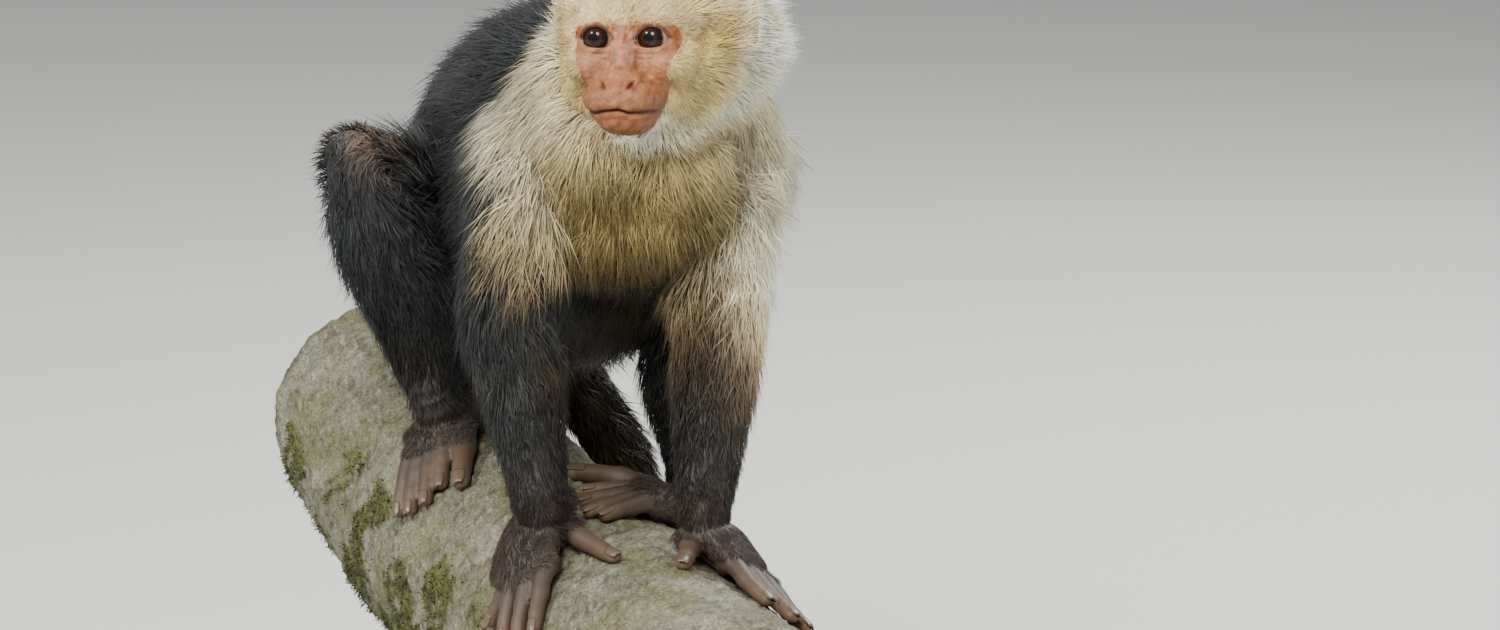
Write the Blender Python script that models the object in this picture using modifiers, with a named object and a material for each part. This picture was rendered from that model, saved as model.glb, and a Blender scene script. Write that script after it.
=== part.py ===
"""White-faced capuchin, crouched with its hands and feet round a sloping limb, on a display stand.

The animal's solids reach out to the tips of its coat. It is modelled whole, as tapering limbs,
a trunk and a head that a voxel remesh joins, and is then parted by thin cuts at the joints.
Lengths are in millimetres and become metres in at(). The limb runs along Y and rises towards
+Y; the animal faces -Y, its right side is at -X, and the origin is under the stand's middle.
"""
import math

import bmesh
import bpy
import numpy as np
from mathutils import Matrix, Vector
from mathutils.bvhtree import BVHTree

# ---- driving dimensions, mm and degrees -------------------------------------------------------
MM = 0.001
GAP = 0.4                      # left between two pieces that touch
VOXEL = 1.7                    # size of the grid that joins the body's forms
BODY_FACES = 3600              # triangles kept before the cuts

LIMB_TOP = (0.0, -75.0, 215.0)  # on the limb's top line, between the hands
LIMB_RADIUS = 65.0
LIMB_TAPER = 0.02              # radius lost for each mm towards the rear
LIMB_SLOPE = 8.0
LIMB_BEND = 0.0004             # rise of the axis, for each mm squared past BEND_START
BEND_START = 80.0
LIMB_FRONT = -155.0            # the two ends, measured along the axis from LIMB_TOP
LIMB_REAR = 305.0
BARK_SWELL = 0.9               # height of the limb's broad swellings

BASE_WIDTH = 250.0
BASE_LENGTH = 370.0
BASE_THICK = 20.0
BASE_CORNER = 28.0
BASE_BEVEL = 3.0
ROD_RADIUS = 7.0
ROD_PLACES = {"stand_rod_front": -95.0, "stand_rod_rear": 215.0}

HEAD_PLACE = (-3.0, -88.0, 444.0)   # midway between the eyeballs
HEAD_TURN = 38.0               # to the animal's right
HEAD_RAISE = 6.0               # of the gaze above level
HEAD_ROLL = 2.0
EYE_SPACING = 25.5
EYE_RADIUS = 8.5
EYE_DEPTH = 0.8                # of the eyeball's centre behind HEAD_PLACE
LID_WIDTH = 14.6
LID_HEIGHT = 10.8

SIDES = {"right": -1.0, "left": 1.0}
CARVED = ("tail_1", "head", "neck", "shin_right", "shin_left", "thigh_right", "thigh_left",
          "upper_arm_right", "upper_arm_left")   # in this order, from what is left of the body


def at(point):
    """A point in millimetres as a vector in metres."""
    return Vector(point) * MM


# ---- the limb's surface: places on it are (along the axis, degrees round it, height) ----------
def limb_axis(along):
    """The axis under LIMB_TOP, straight at LIMB_SLOPE up to BEND_START and curving up past it."""
    slope = math.radians(LIMB_SLOPE)
    rise = LIMB_BEND * max(along - BEND_START, 0.0) ** 2
    start = Vector(LIMB_TOP) - LIMB_RADIUS * limb_up()
    return start + along * Vector((0.0, math.cos(slope), math.sin(slope))) + Vector((0.0, 0.0, rise))


def limb_up():
    slope = math.radians(LIMB_SLOPE)
    return Vector((0.0, -math.sin(slope), math.cos(slope)))


def limb_radius(along, angle=0.0):
    """The taper, with low swellings that follow two waves round and along the limb."""
    turn = math.radians(angle)
    swell = math.sin(0.031 * along + 2.0 * turn) + 0.6 * math.sin(3.0 * turn - 0.05 * along)
    return LIMB_RADIUS - LIMB_TAPER * along + BARK_SWELL * swell


def on_limb(along, angle, height=0.0):
    """A point at this height over the bark; angle 0 is the top line, positive to the animal's left."""
    turn = math.radians(angle)
    out = math.sin(turn) * Vector((1.0, 0.0, 0.0)) + math.cos(turn) * limb_up()
    return limb_axis(along) + (limb_radius(along, angle) + height) * out


# ---- landmarks of the body, mm: joint centres -------------------------------------------------
WITHERS = (29, -6, 376)
JOINTS = {
    "shoulder_right": (-6, -4, 382), "elbow_right": (-42, -44, 319), "wrist_right": (-37, -71, 228),
    "shoulder_left": (77, -6, 376), "elbow_left": (56, -58, 310), "wrist_left": (28, -107, 229),
    "hip_right": (0, 126, 312), "knee_right": (-76, 70, 371), "ankle_right": (-31, 78, 250),
    "hip_left": (62, 124, 306), "knee_left": (74, 20, 324), "ankle_left": (57, -26, 230),
}
THIGH_RADII = {"right": (44, 35, 22, 16.5), "left": (46, 43, 28, 16.5)}
SHIN_RADII = {"right": (16.5, 26, 28, 14.5), "left": (16.5, 23, 24, 14.5)}
THIGH_CELL = {"right": (50, 30), "left": (60, 40)}   # radii of the cell that parts it off
CALF_BOW = {"right": 14, "left": 2}
TRUNK = (  # centre, half width, half height
    ((22, -38, 384), 46, 44),
    ((29, -8, 372), 62, 66),
    ((29, 42, 358), 64, 83),
    ((30, 88, 353), 60, 82),
    ((30, 126, 338), 57, 69),
    ((28, 153, 316), 50, 48),
    ((27, 162, 293), 35, 33),
)
TAIL = (  # centre and radius, root to tip
    ((30, 158, 306), 19), ((50, 172, 276), 17), ((70, 160, 240), 16), ((84, 132, 203), 15),
    ((88, 102, 160), 14.5), ((87, 76, 118), 14), ((84, 46, 84), 13.5), ((81, 10, 74), 13),
    ((80, -24, 88), 12.5), ((79, -40, 118), 12), ((79, -30, 146), 11.5), ((79, -6, 158), 10.5),
    ((79, 14, 148), 9.5), ((79, 18, 128), 7.5),
)
TAIL_CUTS = (4.0, 7.0, 10.0)   # where it is parted, in steps between the points of TAIL

# digits: base and tip as (along, degrees), mm and degrees on the limb, with the radii there
HANDS = {
    "right": {
        "palm": ((16, -22, 14), (4, -34, 11), (-6, -43, 8)),
        "fingers": (((6, -46), (-3, -66)), ((-5, -45), (-21, -67)), ((-14, -41), (-35, -64)),
                    ((-18, -35), (-44, -56))),
        "thumb": ((12, -21), (-12, -19), (-37, -15)),
    },
    "left": {
        "palm": ((-33, 21, 14), (-40, 27, 11), (-48, 32, 9)),
        "fingers": (((-53, 25), (-90, 30)), ((-53, 32), (-102, 37)), ((-51, 39), (-98, 46)),
                    ((-46, 46), (-86, 57))),
        "thumb": ((-33, 16), (-44, 13), (-58, 6)),
    },
}
FEET = {
    "right": {
        "sole": ((186, -6, 8), (166, -16, 9), (150, -29, 8)),
        "toes": (((151, -38), (131, -60)), ((148, -35), (123, -56)), ((145, -31), (117, -49)),
                 ((142, -27), (118, -40))),
        "hallux": ((158, -14), (130, -23), (105, -34)),
    },
    "left": {
        "sole": ((50, 60, 8), (44, 44, 9), (34, 26, 8)),
        "toes": (((18, 20), (12, -2)), ((25, 21), (20, -6)), ((33, 22), (33, -4)),
                 ((41, 23), (46, 2))),
        "hallux": ((56, 40), (66, 22), (71, 5)),
    },
}
FINGER_RADII = (5.0, 4.3, 3.6)
TOE_RADII = (5.2, 4.4, 3.7)


# ---- forms ------------------------------------------------------------------------------------
def spline(values, steps):
    """Catmull-Rom through rows of numbers, with this many steps between each two."""
    rows = np.array(values, float)
    rows = np.vstack([2 * rows[0] - rows[1], rows, 2 * rows[-1] - rows[-2]])
    t = np.linspace(0.0, 1.0, steps, endpoint=False)[:, None]
    spans = []
    for a, b, c, d in zip(rows, rows[1:], rows[2:], rows[3:]):
        spans.append(0.5 * (2 * b + (c - a) * t + (2 * a - 5 * b + 4 * c - d) * t ** 2
                            + (3 * b - a - 3 * c + d) * t ** 3))
    return np.vstack(spans + [rows[-2][None]])


def add_loft(bm, sections, up=(0, 0, 1), steps=6, sides=20):
    """A closed loft of ellipses: each section is a centre, a half width and a half height.

    The height lies towards up; both ends are closed by domes as deep as they are high.
    """
    rows = spline([tuple(centre) + (wide, tall) for centre, wide, tall in sections], steps)
    centres, radii = rows[:, :3], rows[:, 3:]
    along = np.gradient(centres, axis=0)
    along /= np.linalg.norm(along, axis=1)[:, None]
    dome = np.sin(np.linspace(0.15, 1.0, 5) * math.pi / 2)
    depth = np.cos(np.linspace(0.15, 1.0, 5) * math.pi / 2)
    ends = ((0, -1.0, dome[:-1]), (-1, 1.0, dome[:-1][::-1]))
    caps = []
    for index, way, sizes in ends:
        depths = depth[:-1] if way < 0 else depth[:-1][::-1]
        reach = way * radii[index].min() * depths[:, None] * along[index]
        caps.append((centres[index] + reach, radii[index] * sizes[:, None],
                     np.repeat(along[index][None], len(sizes), 0)))
    centres = np.vstack([caps[0][0], centres, caps[1][0]])
    radii = np.vstack([caps[0][1], radii, caps[1][1]])
    along = np.vstack([caps[0][2], along, caps[1][2]])
    wide = np.cross(along, np.array(up, float))
    wide /= np.linalg.norm(wide, axis=1)[:, None]
    tall = np.cross(wide, along)
    turn = np.arange(sides) * 2 * math.pi / sides
    rings = (centres[:, None] + radii[:, None, :1] * wide[:, None] * np.cos(turn)[:, None]
             + radii[:, None, 1:] * tall[:, None] * np.sin(turn)[:, None])
    verts = [[bm.verts.new(at(p)) for p in ring] for ring in rings]
    faces = []
    for one, two in zip(verts, verts[1:]):
        for i in range(sides):
            j = (i + 1) % sides
            faces.append(bm.faces.new((one[i], one[j], two[j], two[i])))
    faces.append(bm.faces.new(verts[0][::-1]))
    faces.append(bm.faces.new(verts[-1]))
    bmesh.ops.recalc_face_normals(bm, faces=faces)


def add_tube(bm, points, radii, steps=6, sides=16):
    """A round tapering form through these points."""
    direction = Vector(points[-1]) - Vector(points[0])
    up = (0, 0, 1) if abs(direction.normalized().z) < 0.8 else (0, 1, 0)
    add_loft(bm, [(p, r, r) for p, r in zip(points, radii)], up, steps, sides)


def add_ellipsoid(bm, centre, radii, frame=None):
    """An ellipsoid with these half axes, in a frame such as the head's."""
    scale = Matrix.Diagonal((*[r * MM for r in radii], 1.0))
    place = (frame or Matrix()) @ Matrix.Translation(at(centre)) @ scale
    bmesh.ops.create_uvsphere(bm, u_segments=28, v_segments=18, radius=1.0, matrix=place)


def head_frame():
    """The head's own axes: X to its left, Y backwards, Z up, from between the eyes."""
    turn = Matrix.Rotation(math.radians(-HEAD_TURN), 4, "Z")
    raised = Matrix.Rotation(math.radians(-HEAD_RAISE), 4, "X")
    rolled = Matrix.Rotation(math.radians(-HEAD_ROLL), 4, "Y")
    return Matrix.Translation(at(HEAD_PLACE)) @ turn @ raised @ rolled


def in_head(point):
    """A point of the head's frame, mm, as a point of the part, mm."""
    return tuple(head_frame() @ at(point) / MM)


# ---- the animal -------------------------------------------------------------------------------
def add_head(bm):
    """Skull with its coat, the bare face's forms, the muzzle, chin and the ruff behind the ears."""
    frame = head_frame()
    forms = (
        ((0, 46, 4), (44, 56, 38)),       # crown and temples
        ((0, 36, -15), (42, 44, 27)),     # cheek fur and jaw
        ((0, 76, -2), (55, 36, 39)),      # ruff
        ((0, 9, -7), (28, 16.5, 19)),     # plane of the face
        ((0, 0, -27), (19, 21.5, 13.5)),  # muzzle
        ((0, -2, -37), (14, 15, 8.5)),    # chin
        ((0, 6, -42), (19, 13, 9.5)),     # beard under it
        ((0, -14, -19), (9, 8, 6)),       # nose
    )
    for centre, radii in forms:
        add_ellipsoid(bm, centre, radii, frame)
    for side in SIDES.values():
        add_ellipsoid(bm, (side * 18, 1, -11), (10, 9.5, 8), frame)      # cheekbone
        add_ellipsoid(bm, (side * 10, -7, -27), (11, 13.5, 9), frame)    # upper lip pad
    brow = [in_head((x, 1.5 + 0.016 * x * x - 7.5, 9.0 - 0.004 * x * x)) for x in range(-25, 26, 10)]
    add_tube(bm, brow, (4.5, 5.0, 5.2, 5.2, 5.0, 4.5))
    add_tube(bm, [in_head(p) for p in ((0, -3.5, 6), (0, -7.5, -6), (0, -12.5, -17))], (5, 5, 6))


def add_trunk(bm):
    """Chest, belly and rump, the neck, and the mane that falls from it over both shoulders."""
    add_loft(bm, TRUNK, sides=28)
    nape, throat = in_head((0, 76, -8)), in_head((0, 46, -26))
    add_tube(bm, [nape, (30, -18, 402), WITHERS], (48, 50, 56), sides=24)
    add_tube(bm, [throat, (18, -40, 392), (22, -30, 372)], (33, 42, 50), sides=24)
    for side, place in (("right", (10, -18, 418)), ("left", (62, -22, 408))):
        add_tube(bm, [place, JOINTS["shoulder_" + side]], (30, 34), sides=20)


def add_arm(bm, side):
    shoulder, elbow, wrist, _, _, _ = joints_of(side)
    points = [shoulder, shoulder.lerp(elbow, 0.5), elbow, elbow.lerp(wrist, 0.3),
              elbow.lerp(wrist, 0.7), wrist]
    add_tube(bm, points, (34, 29, 23, 21.5, 17, 14), sides=20)


def joints_of(side):
    """Shoulder, elbow, wrist, hip, knee and ankle."""
    names = ("shoulder", "elbow", "wrist", "hip", "knee", "ankle")
    return [Vector(JOINTS[name + "_" + side]) for name in names]


def calf_way(side):
    """Square to the shin, pointing from the calf to the thigh."""
    _, _, _, hip, knee, ankle = joints_of(side)
    return (ankle - knee).cross(hip - knee).cross(ankle - knee).normalized()


def shin_points(side):
    """The middle line of knee, calf and ankle, bowed away from the thigh."""
    _, _, _, _, knee, ankle = joints_of(side)
    bow = CALF_BOW[side] * calf_way(side)
    return [knee, knee.lerp(ankle, 0.3) - 0.3 * bow, knee.lerp(ankle, 0.6) - bow, ankle]


def add_leg(bm, side):
    _, _, _, hip, knee, _ = joints_of(side)
    add_tube(bm, [hip, hip.lerp(knee, 0.45), hip.lerp(knee, 0.8), knee], THIGH_RADII[side], sides=20)
    add_tube(bm, shin_points(side), SHIN_RADII[side], sides=20)


def add_digit(bm, route, radii):
    """A finger or toe that lies on the bark along (along, degrees) places, its joint raised."""
    (s0, a0), (s1, a1) = route[0], route[-1]
    middle = route[1] if len(route) > 2 else ((s0 + s1) / 2, (a0 + a1) / 2)
    lift = 1.5 if len(route) == 2 else 0.5
    points = [on_limb(s0, a0, radii[0] + 1.5), on_limb(*middle, radii[1] + lift),
              on_limb(s1, a1, radii[2] - 0.4)]
    add_tube(bm, points, radii, steps=5, sides=12)


def add_hand(bm, side):
    """Wrist, palm and five digits."""
    hand = HANDS[side]
    wrist = JOINTS["wrist_" + side]
    palm = [on_limb(*place) for place in hand["palm"]]
    up = palm[1] - limb_axis(hand["palm"][1][0])
    add_loft(bm, ((wrist, 13, 12), (palm[0], 14, 11), (palm[1], 17, 10), (palm[2], 18.5, 8)), up, sides=18)
    for finger in hand["fingers"]:
        add_digit(bm, finger, FINGER_RADII)
        add_digit(bm, (hand["palm"][0][:2], finger[0]), (7, 6, 5))
    add_digit(bm, hand["thumb"], (6.5, 5, 3.8))


def add_foot(bm, side):
    """Heel, sole, four toes side by side and the hallux set apart like a thumb."""
    foot = FEET[side]
    ankle = JOINTS["ankle_" + side]
    sole = [on_limb(*place) for place in foot["sole"]]
    up = sole[1] - limb_axis(foot["sole"][1][0])
    add_loft(bm, ((sole[0], 9, 8), (sole[1], 13, 9.5), (sole[2], 17, 8)), up, sides=18)
    add_tube(bm, [ankle, sole[0].lerp(sole[1], 0.6)], (14, 11))
    add_tube(bm, [ankle, sole[1].lerp(sole[2], 0.6)], (13, 9))
    for toe in foot["toes"]:
        add_digit(bm, toe, TOE_RADII)
        add_digit(bm, (foot["sole"][1][:2], toe[0]), (8, 6, 5.2))
    add_digit(bm, foot["hallux"], (7, 5.6, 4.6))


def add_tail(bm):
    add_tube(bm, [p for p, _ in TAIL], [r for _, r in TAIL], steps=4, sides=14)


# ---- joining and cutting ----------------------------------------------------------------------
def new_object(name, mesh, collection):
    obj = bpy.data.objects.new(name, mesh)
    collection.objects.link(obj)
    return obj


def object_of(bm, name, collection):
    mesh = bpy.data.meshes.new(name)
    bm.to_mesh(mesh)
    bm.free()
    return new_object(name, mesh, collection)


def apply_modifiers(obj):
    """Replaces the object's mesh by what its modifiers make of it."""
    bpy.context.view_layer.update()
    mesh = bpy.data.meshes.new_from_object(obj.evaluated_get(bpy.context.evaluated_depsgraph_get()))
    obj.modifiers.clear()
    obj.data = mesh


def softness(points):
    """1 where the coat is long and smooth, falling to 0 at the hands, feet and face."""
    soft = np.ones(len(points))
    keep = [(JOINTS["wrist_" + side], 30, 70) for side in SIDES]
    keep += [(on_limb(-30, -48), 40, 60), (on_limb(-80, 30), 40, 60)]
    keep += [(on_limb(135, -38), 48, 70), (on_limb(40, 20), 55, 75)]
    keep += [(in_head((0, -6, -18)), 42, 62)]
    for centre, inner, outer in keep:
        away = np.linalg.norm(points / MM - np.array(centre), axis=1)
        soft = np.minimum(soft, np.clip((away - inner) / (outer - inner), 0.0, 1.0))
    return soft


def whole_body(collection):
    """Every form of the animal joined in one closed surface, smoothed and thinned out."""
    bm = bmesh.new()
    add_head(bm)
    add_trunk(bm)
    add_tail(bm)
    for side in SIDES:
        add_arm(bm, side)
        add_leg(bm, side)
        add_hand(bm, side)
        add_foot(bm, side)
    body = object_of(bm, "body", collection)
    remesh = body.modifiers.new("join", "REMESH")
    remesh.mode = "VOXEL"
    remesh.voxel_size = VOXEL * MM
    apply_modifiers(body)
    points = np.empty(len(body.data.vertices) * 3)
    body.data.vertices.foreach_get("co", points)
    soft = softness(points.reshape(-1, 3))
    group = body.vertex_groups.new(name="soft")
    for level in range(11):
        members = np.flatnonzero(np.round(soft * 10) == level)
        group.add(members.tolist(), level / 10, "REPLACE")
    smooth = body.modifiers.new("blend", "SMOOTH")
    smooth.factor = 0.6
    smooth.iterations = 14
    smooth.vertex_group = "soft"
    light = body.modifiers.new("even", "SMOOTH")
    light.factor = 0.5
    light.iterations = 2
    thin = body.modifiers.new("thin", "DECIMATE")
    thin.ratio = BODY_FACES / (2.0 * len(body.data.polygons))
    apply_modifiers(body)
    return body


def disc(place, normal, radius):
    """A thin round cutter, square to normal."""
    bm = bmesh.new()
    turn = Vector(normal).to_track_quat("Z", "Y").to_matrix().to_4x4()
    bmesh.ops.create_cone(bm, cap_ends=True, segments=16, radius1=radius * MM, radius2=radius * MM,
                          depth=GAP * MM, matrix=Matrix.Translation(at(place)) @ turn)
    return bm


def joint_cuts():
    """Thin discs across the elbows, wrists and ankles, and at the places where the tail is parted."""
    cuts = []
    for side in SIDES:
        shoulder, elbow, wrist, _, knee, ankle = joints_of(side)
        cuts.append(disc(elbow, wrist - shoulder, 38))
        cuts.append(disc(wrist, elbow - wrist, 30))
        cuts.append(disc(ankle, knee - ankle, 28))
    path = spline([p for p, _ in TAIL], 10)
    for cut in TAIL_CUTS:
        i = int(cut * 10)
        cuts.append(disc(path[i], path[i + 1] - path[i - 1], 27))
    return cuts


def half_space(bm, place, normal, extra):
    """A short wide cylinder standing on a plane, which takes in all that is found above it."""
    turn = Vector(normal).to_track_quat("Z", "Y").to_matrix().to_4x4()
    middle = Vector(place) + Vector(normal).normalized() * (60 - extra)
    bmesh.ops.create_cone(bm, cap_ends=True, segments=24, radius1=(92 + extra) * MM,
                          radius2=(92 + extra) * MM, depth=120 * MM,
                          matrix=Matrix.Translation(at(middle)) @ turn)


def frustum(bm, start, end, wide, narrow, extra):
    """A cone without its tip, from one flat end to the other."""
    way = (end - start).normalized()
    start, end = start - extra * way, end + extra * way
    turn = way.to_track_quat("Z", "Y").to_matrix().to_4x4()
    bmesh.ops.create_cone(bm, cap_ends=True, segments=20, radius1=(wide + extra) * MM,
                          radius2=(narrow + extra) * MM, depth=(end - start).length * MM,
                          matrix=Matrix.Translation(at((start + end) / 2)) @ turn)


def cell(name, extra):
    """The room in which this body part lies; extra widens it to make the gap to the next one."""
    bm = bmesh.new()
    if name == "head":
        half_space(bm, in_head((0, 52, -35)), head_frame().to_3x3() @ Vector((0, -0.55, 0.84)), extra)
        return bm
    if name == "neck":
        half_space(bm, (25, -30, 398), (0.15, -0.75, 0.64), extra)
        return bm
    if name == "tail_1":
        add_tube(bm, [p for p, _ in TAIL[1:6]], [r + 6 + extra for _, r in TAIL[1:6]], steps=1, sides=12)
        return bm
    kind, side = name.rsplit("_", 1)
    shoulder, elbow, _, hip, knee, _ = joints_of(side)
    if kind == "upper_arm":
        frustum(bm, shoulder.lerp(elbow, 0.08), elbow.lerp(shoulder, -0.2), 46, 34, extra)
    elif kind == "thigh":
        frustum(bm, hip.lerp(knee, 0.1), knee.lerp(hip, -0.25), *THIGH_CELL[side], extra)
    else:
        add_tube(bm, shin_points(side), [r + 6 + extra for r in SHIN_RADII[side]], steps=1, sides=12)
    return bm


def cut_by(obj, cutter, operation="DIFFERENCE"):
    cut = obj.modifiers.new("cut", "BOOLEAN")
    cut.operation = operation
    cut.solver = "MANIFOLD"
    cut.object = cutter


def islands(obj):
    """The separate closed bodies of a mesh, each as its own bmesh."""
    bm = bmesh.new()
    bm.from_mesh(obj.data)
    bm.verts.ensure_lookup_table()
    left = set(range(len(bm.verts)))
    found = []
    while left:
        front = [left.pop()]
        members = set(front)
        while front:
            for edge in bm.verts[front.pop()].link_edges:
                for vert in edge.verts:
                    if vert.index in left:
                        left.discard(vert.index)
                        members.add(vert.index)
                        front.append(vert.index)
        piece = bm.copy()
        piece.verts.ensure_lookup_table()
        spare = [v for v in piece.verts if v.index not in members]
        bmesh.ops.delete(piece, geom=spare, context="VERTS")
        found.append(piece)
    bm.free()
    return found


def seeds():
    """A point well inside each body part, by the name of its node."""
    path = spline([p for p, _ in TAIL], 10)
    marks = {"head": in_head((0, 30, 8)), "neck": (26, -30, 410), "trunk": (29, 60, 366)}
    for n, index in enumerate((26, 54, 84, 115), 1):
        marks["tail_" + str(n)] = tuple(path[index])
    for side in SIDES:
        shoulder, elbow, wrist, hip, knee, ankle = joints_of(side)
        marks["upper_arm_" + side] = shoulder.lerp(elbow, 0.72)
        marks["forearm_" + side] = elbow.lerp(wrist, 0.5)
        marks["hand_" + side] = on_limb(*HANDS[side]["palm"][1])
        marks["thigh_" + side] = hip.lerp(knee, 0.62)
        marks["shin_" + side] = knee.lerp(ankle, 0.5)
        marks["foot_" + side] = on_limb(*FEET[side]["sole"][1])
    return marks


# ---- eyes and ears ----------------------------------------------------------------------------
def add_eye(bm, way, extra=0.0):
    frame = head_frame() @ Matrix.Translation(at((way * EYE_SPACING / 2, EYE_DEPTH, 0)))
    bmesh.ops.create_uvsphere(bm, u_segments=12, v_segments=8, radius=(EYE_RADIUS + extra) * MM,
                              matrix=frame)


def add_lid_opening(bm, way):
    """An elliptical opening in front of the eyeball, wider at its front."""
    place = Matrix.Translation(at((way * EYE_SPACING / 2, EYE_DEPTH - 10.5, 0)))
    shape = Matrix.Diagonal((LID_WIDTH / LID_HEIGHT, 1.0, 1.0, 1.0)) @ Matrix.Rotation(math.pi / 2, 4, "X")
    half = LID_HEIGHT / 2
    bmesh.ops.create_cone(bm, cap_ends=True, segments=16, radius1=half * MM, radius2=half * 1.5 * MM,
                          depth=14 * MM, matrix=head_frame() @ place @ shape)


def add_ear(bm, way, extra=0.0):
    """A thin upright ear, hollowed in front, that stands off the temple fur."""
    centre = (way * 42.5, 52, 6)
    turn = Matrix.Rotation(math.radians(way * -28), 4, "Z")
    frame = head_frame() @ Matrix.Translation(at(centre)) @ turn
    scale = Matrix.Diagonal(((4.2 + extra) * MM, (8 + extra) * MM, (11.5 + extra) * MM, 1.0))
    bmesh.ops.create_uvsphere(bm, u_segments=12, v_segments=8, radius=1.0, matrix=frame @ scale)


def make_eyes_and_ears(parts, cutters):
    """The four pieces, and one cutter a little larger than all of them."""
    pieces = {}
    spare = bmesh.new()
    for side, way in SIDES.items():
        for kind, add in (("eye_", add_eye), ("ear_", add_ear)):
            bm = bmesh.new()
            add(bm, way)
            pieces[kind + side] = object_of(bm, kind + side, parts)
            add(spare, way, GAP)
        add_lid_opening(spare, way)
    room = object_of(spare, "room_for_eyes_and_ears", cutters)
    one_body = room.modifiers.new("one", "BOOLEAN")
    one_body.operation = "UNION"
    one_body.use_self = True
    blank = object_of(bmesh.new(), "nothing", cutters)
    one_body.object = blank
    apply_modifiers(room)
    bpy.data.objects.remove(blank)
    return pieces, room


# ---- limb and stand ---------------------------------------------------------------------------
def make_limb(name, collection, extra=0.0, margin=0.0, sides=28, rings=10):
    """The cut length of limb: rings square to its axis, with flat sawn ends."""
    bm = bmesh.new()
    stations = np.linspace(LIMB_FRONT, LIMB_REAR, rings).tolist()
    stations[0] -= margin
    stations[-1] += margin
    lines = []
    for along in stations:
        lines.append([bm.verts.new(at(on_limb(along, 360.0 * i / sides, extra))) for i in range(sides)])
    for one, two in zip(lines, lines[1:]):
        for i in range(sides):
            j = (i + 1) % sides
            bm.faces.new((one[j], one[i], two[i], two[j]))
    bm.faces.new(lines[0])
    bm.faces.new(lines[-1][::-1])
    bmesh.ops.recalc_face_normals(bm, faces=bm.faces)
    return object_of(bm, name, collection)


def make_base(collection):
    """A flat rectangular base with round corners and a small bevel."""
    bm = bmesh.new()
    scale = Matrix.Diagonal((BASE_WIDTH * MM, BASE_LENGTH * MM, BASE_THICK * MM, 1.0))
    bmesh.ops.create_cube(bm, size=1.0, matrix=Matrix.Translation(at((0, 0, BASE_THICK / 2))) @ scale)
    upright = [e for e in bm.edges if abs(e.verts[0].co.z - e.verts[1].co.z) > BASE_THICK * MM / 2]
    bmesh.ops.bevel(bm, geom=upright, offset=BASE_CORNER * MM, segments=6, affect="EDGES", profile=0.5)
    base = object_of(bm, "stand_base", collection)
    bevel = base.modifiers.new("edge", "BEVEL")
    bevel.width = BASE_BEVEL * MM
    bevel.segments = 2
    bevel.limit_method = "ANGLE"
    bevel.angle_limit = math.radians(60)
    return base


def make_rod(name, along, collection, cutter):
    """A round rod from the base up to the limb's underside, whose shape its top takes."""
    foot = limb_axis(along)
    top = foot.z - 0.6 * limb_radius(along)
    bottom = BASE_THICK + GAP
    bm = bmesh.new()
    place = Matrix.Translation(at((foot.x, foot.y, (top + bottom) / 2)))
    bmesh.ops.create_cone(bm, cap_ends=True, segments=16, radius1=ROD_RADIUS * MM,
                          radius2=ROD_RADIUS * MM, depth=(top - bottom) * MM, matrix=place)
    rod = object_of(bm, name, collection)
    cut_by(rod, cutter)
    return rod


# ---- materials --------------------------------------------------------------------------------
FINISHES = {
    "black_coat": ((0.012, 0.012, 0.014), 0.75), "cream_coat": ((0.72, 0.60, 0.38), 0.8),
    "brown_skin": ((0.09, 0.055, 0.045), 0.6), "eye": ((0.015, 0.008, 0.005), 0.08),
    "ear_skin": ((0.50, 0.30, 0.21), 0.6), "bark": ((0.22, 0.22, 0.17), 0.9),
    "stand_black": ((0.02, 0.02, 0.02), 0.35), "rod_steel": ((0.45, 0.45, 0.46), 0.3),
}
FINISH_OF = {
    "head": "cream_coat", "neck": "cream_coat", "trunk": "black_coat", "tail": "black_coat",
    "upper": "cream_coat", "forearm": "black_coat", "hand": "brown_skin", "thigh": "black_coat",
    "shin": "black_coat", "foot": "brown_skin", "eye": "eye", "ear": "ear_skin", "perch": "bark",
}


def paint(obj):
    slot = FINISH_OF.get(obj.name.split("_")[0])
    if slot is None:
        slot = "rod_steel" if "rod" in obj.name else "stand_black"
    colour, rough = FINISHES[slot]
    material = bpy.data.materials.get(obj.name) or bpy.data.materials.new(obj.name)
    material.use_nodes = True
    shader = material.node_tree.nodes["Principled BSDF"]
    shader.inputs["Base Color"].default_value = (*colour, 1.0)
    shader.inputs["Roughness"].default_value = rough
    shader.inputs["Metallic"].default_value = 1.0 if slot == "rod_steel" else 0.0
    obj.data.materials.clear()
    obj.data.materials.append(material)


# ---- putting it together ----------------------------------------------------------------------
def clear_scene():
    for obj in list(bpy.data.objects):
        bpy.data.objects.remove(obj, do_unlink=True)


def new_collection(name):
    collection = bpy.data.collections.new(name)
    bpy.context.scene.collection.children.link(collection)
    return collection


def encloses(piece, mark):
    """Whether a line straight up from the mark leaves the piece an odd number of times."""
    tree = BVHTree.FromBMesh(piece)
    up = Vector((0.0, 0.0, 1.0))
    hits = 0
    place = tree.ray_cast(at(mark), up)[0]
    while place is not None:
        hits += 1
        place = tree.ray_cast(place + up * 1e-6, up)[0]
    return hits % 2 == 1


def holding(pieces, name, mark):
    for piece in pieces:
        if encloses(piece, mark):
            return piece
    raise ValueError("no piece holds the seed of " + name)


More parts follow.
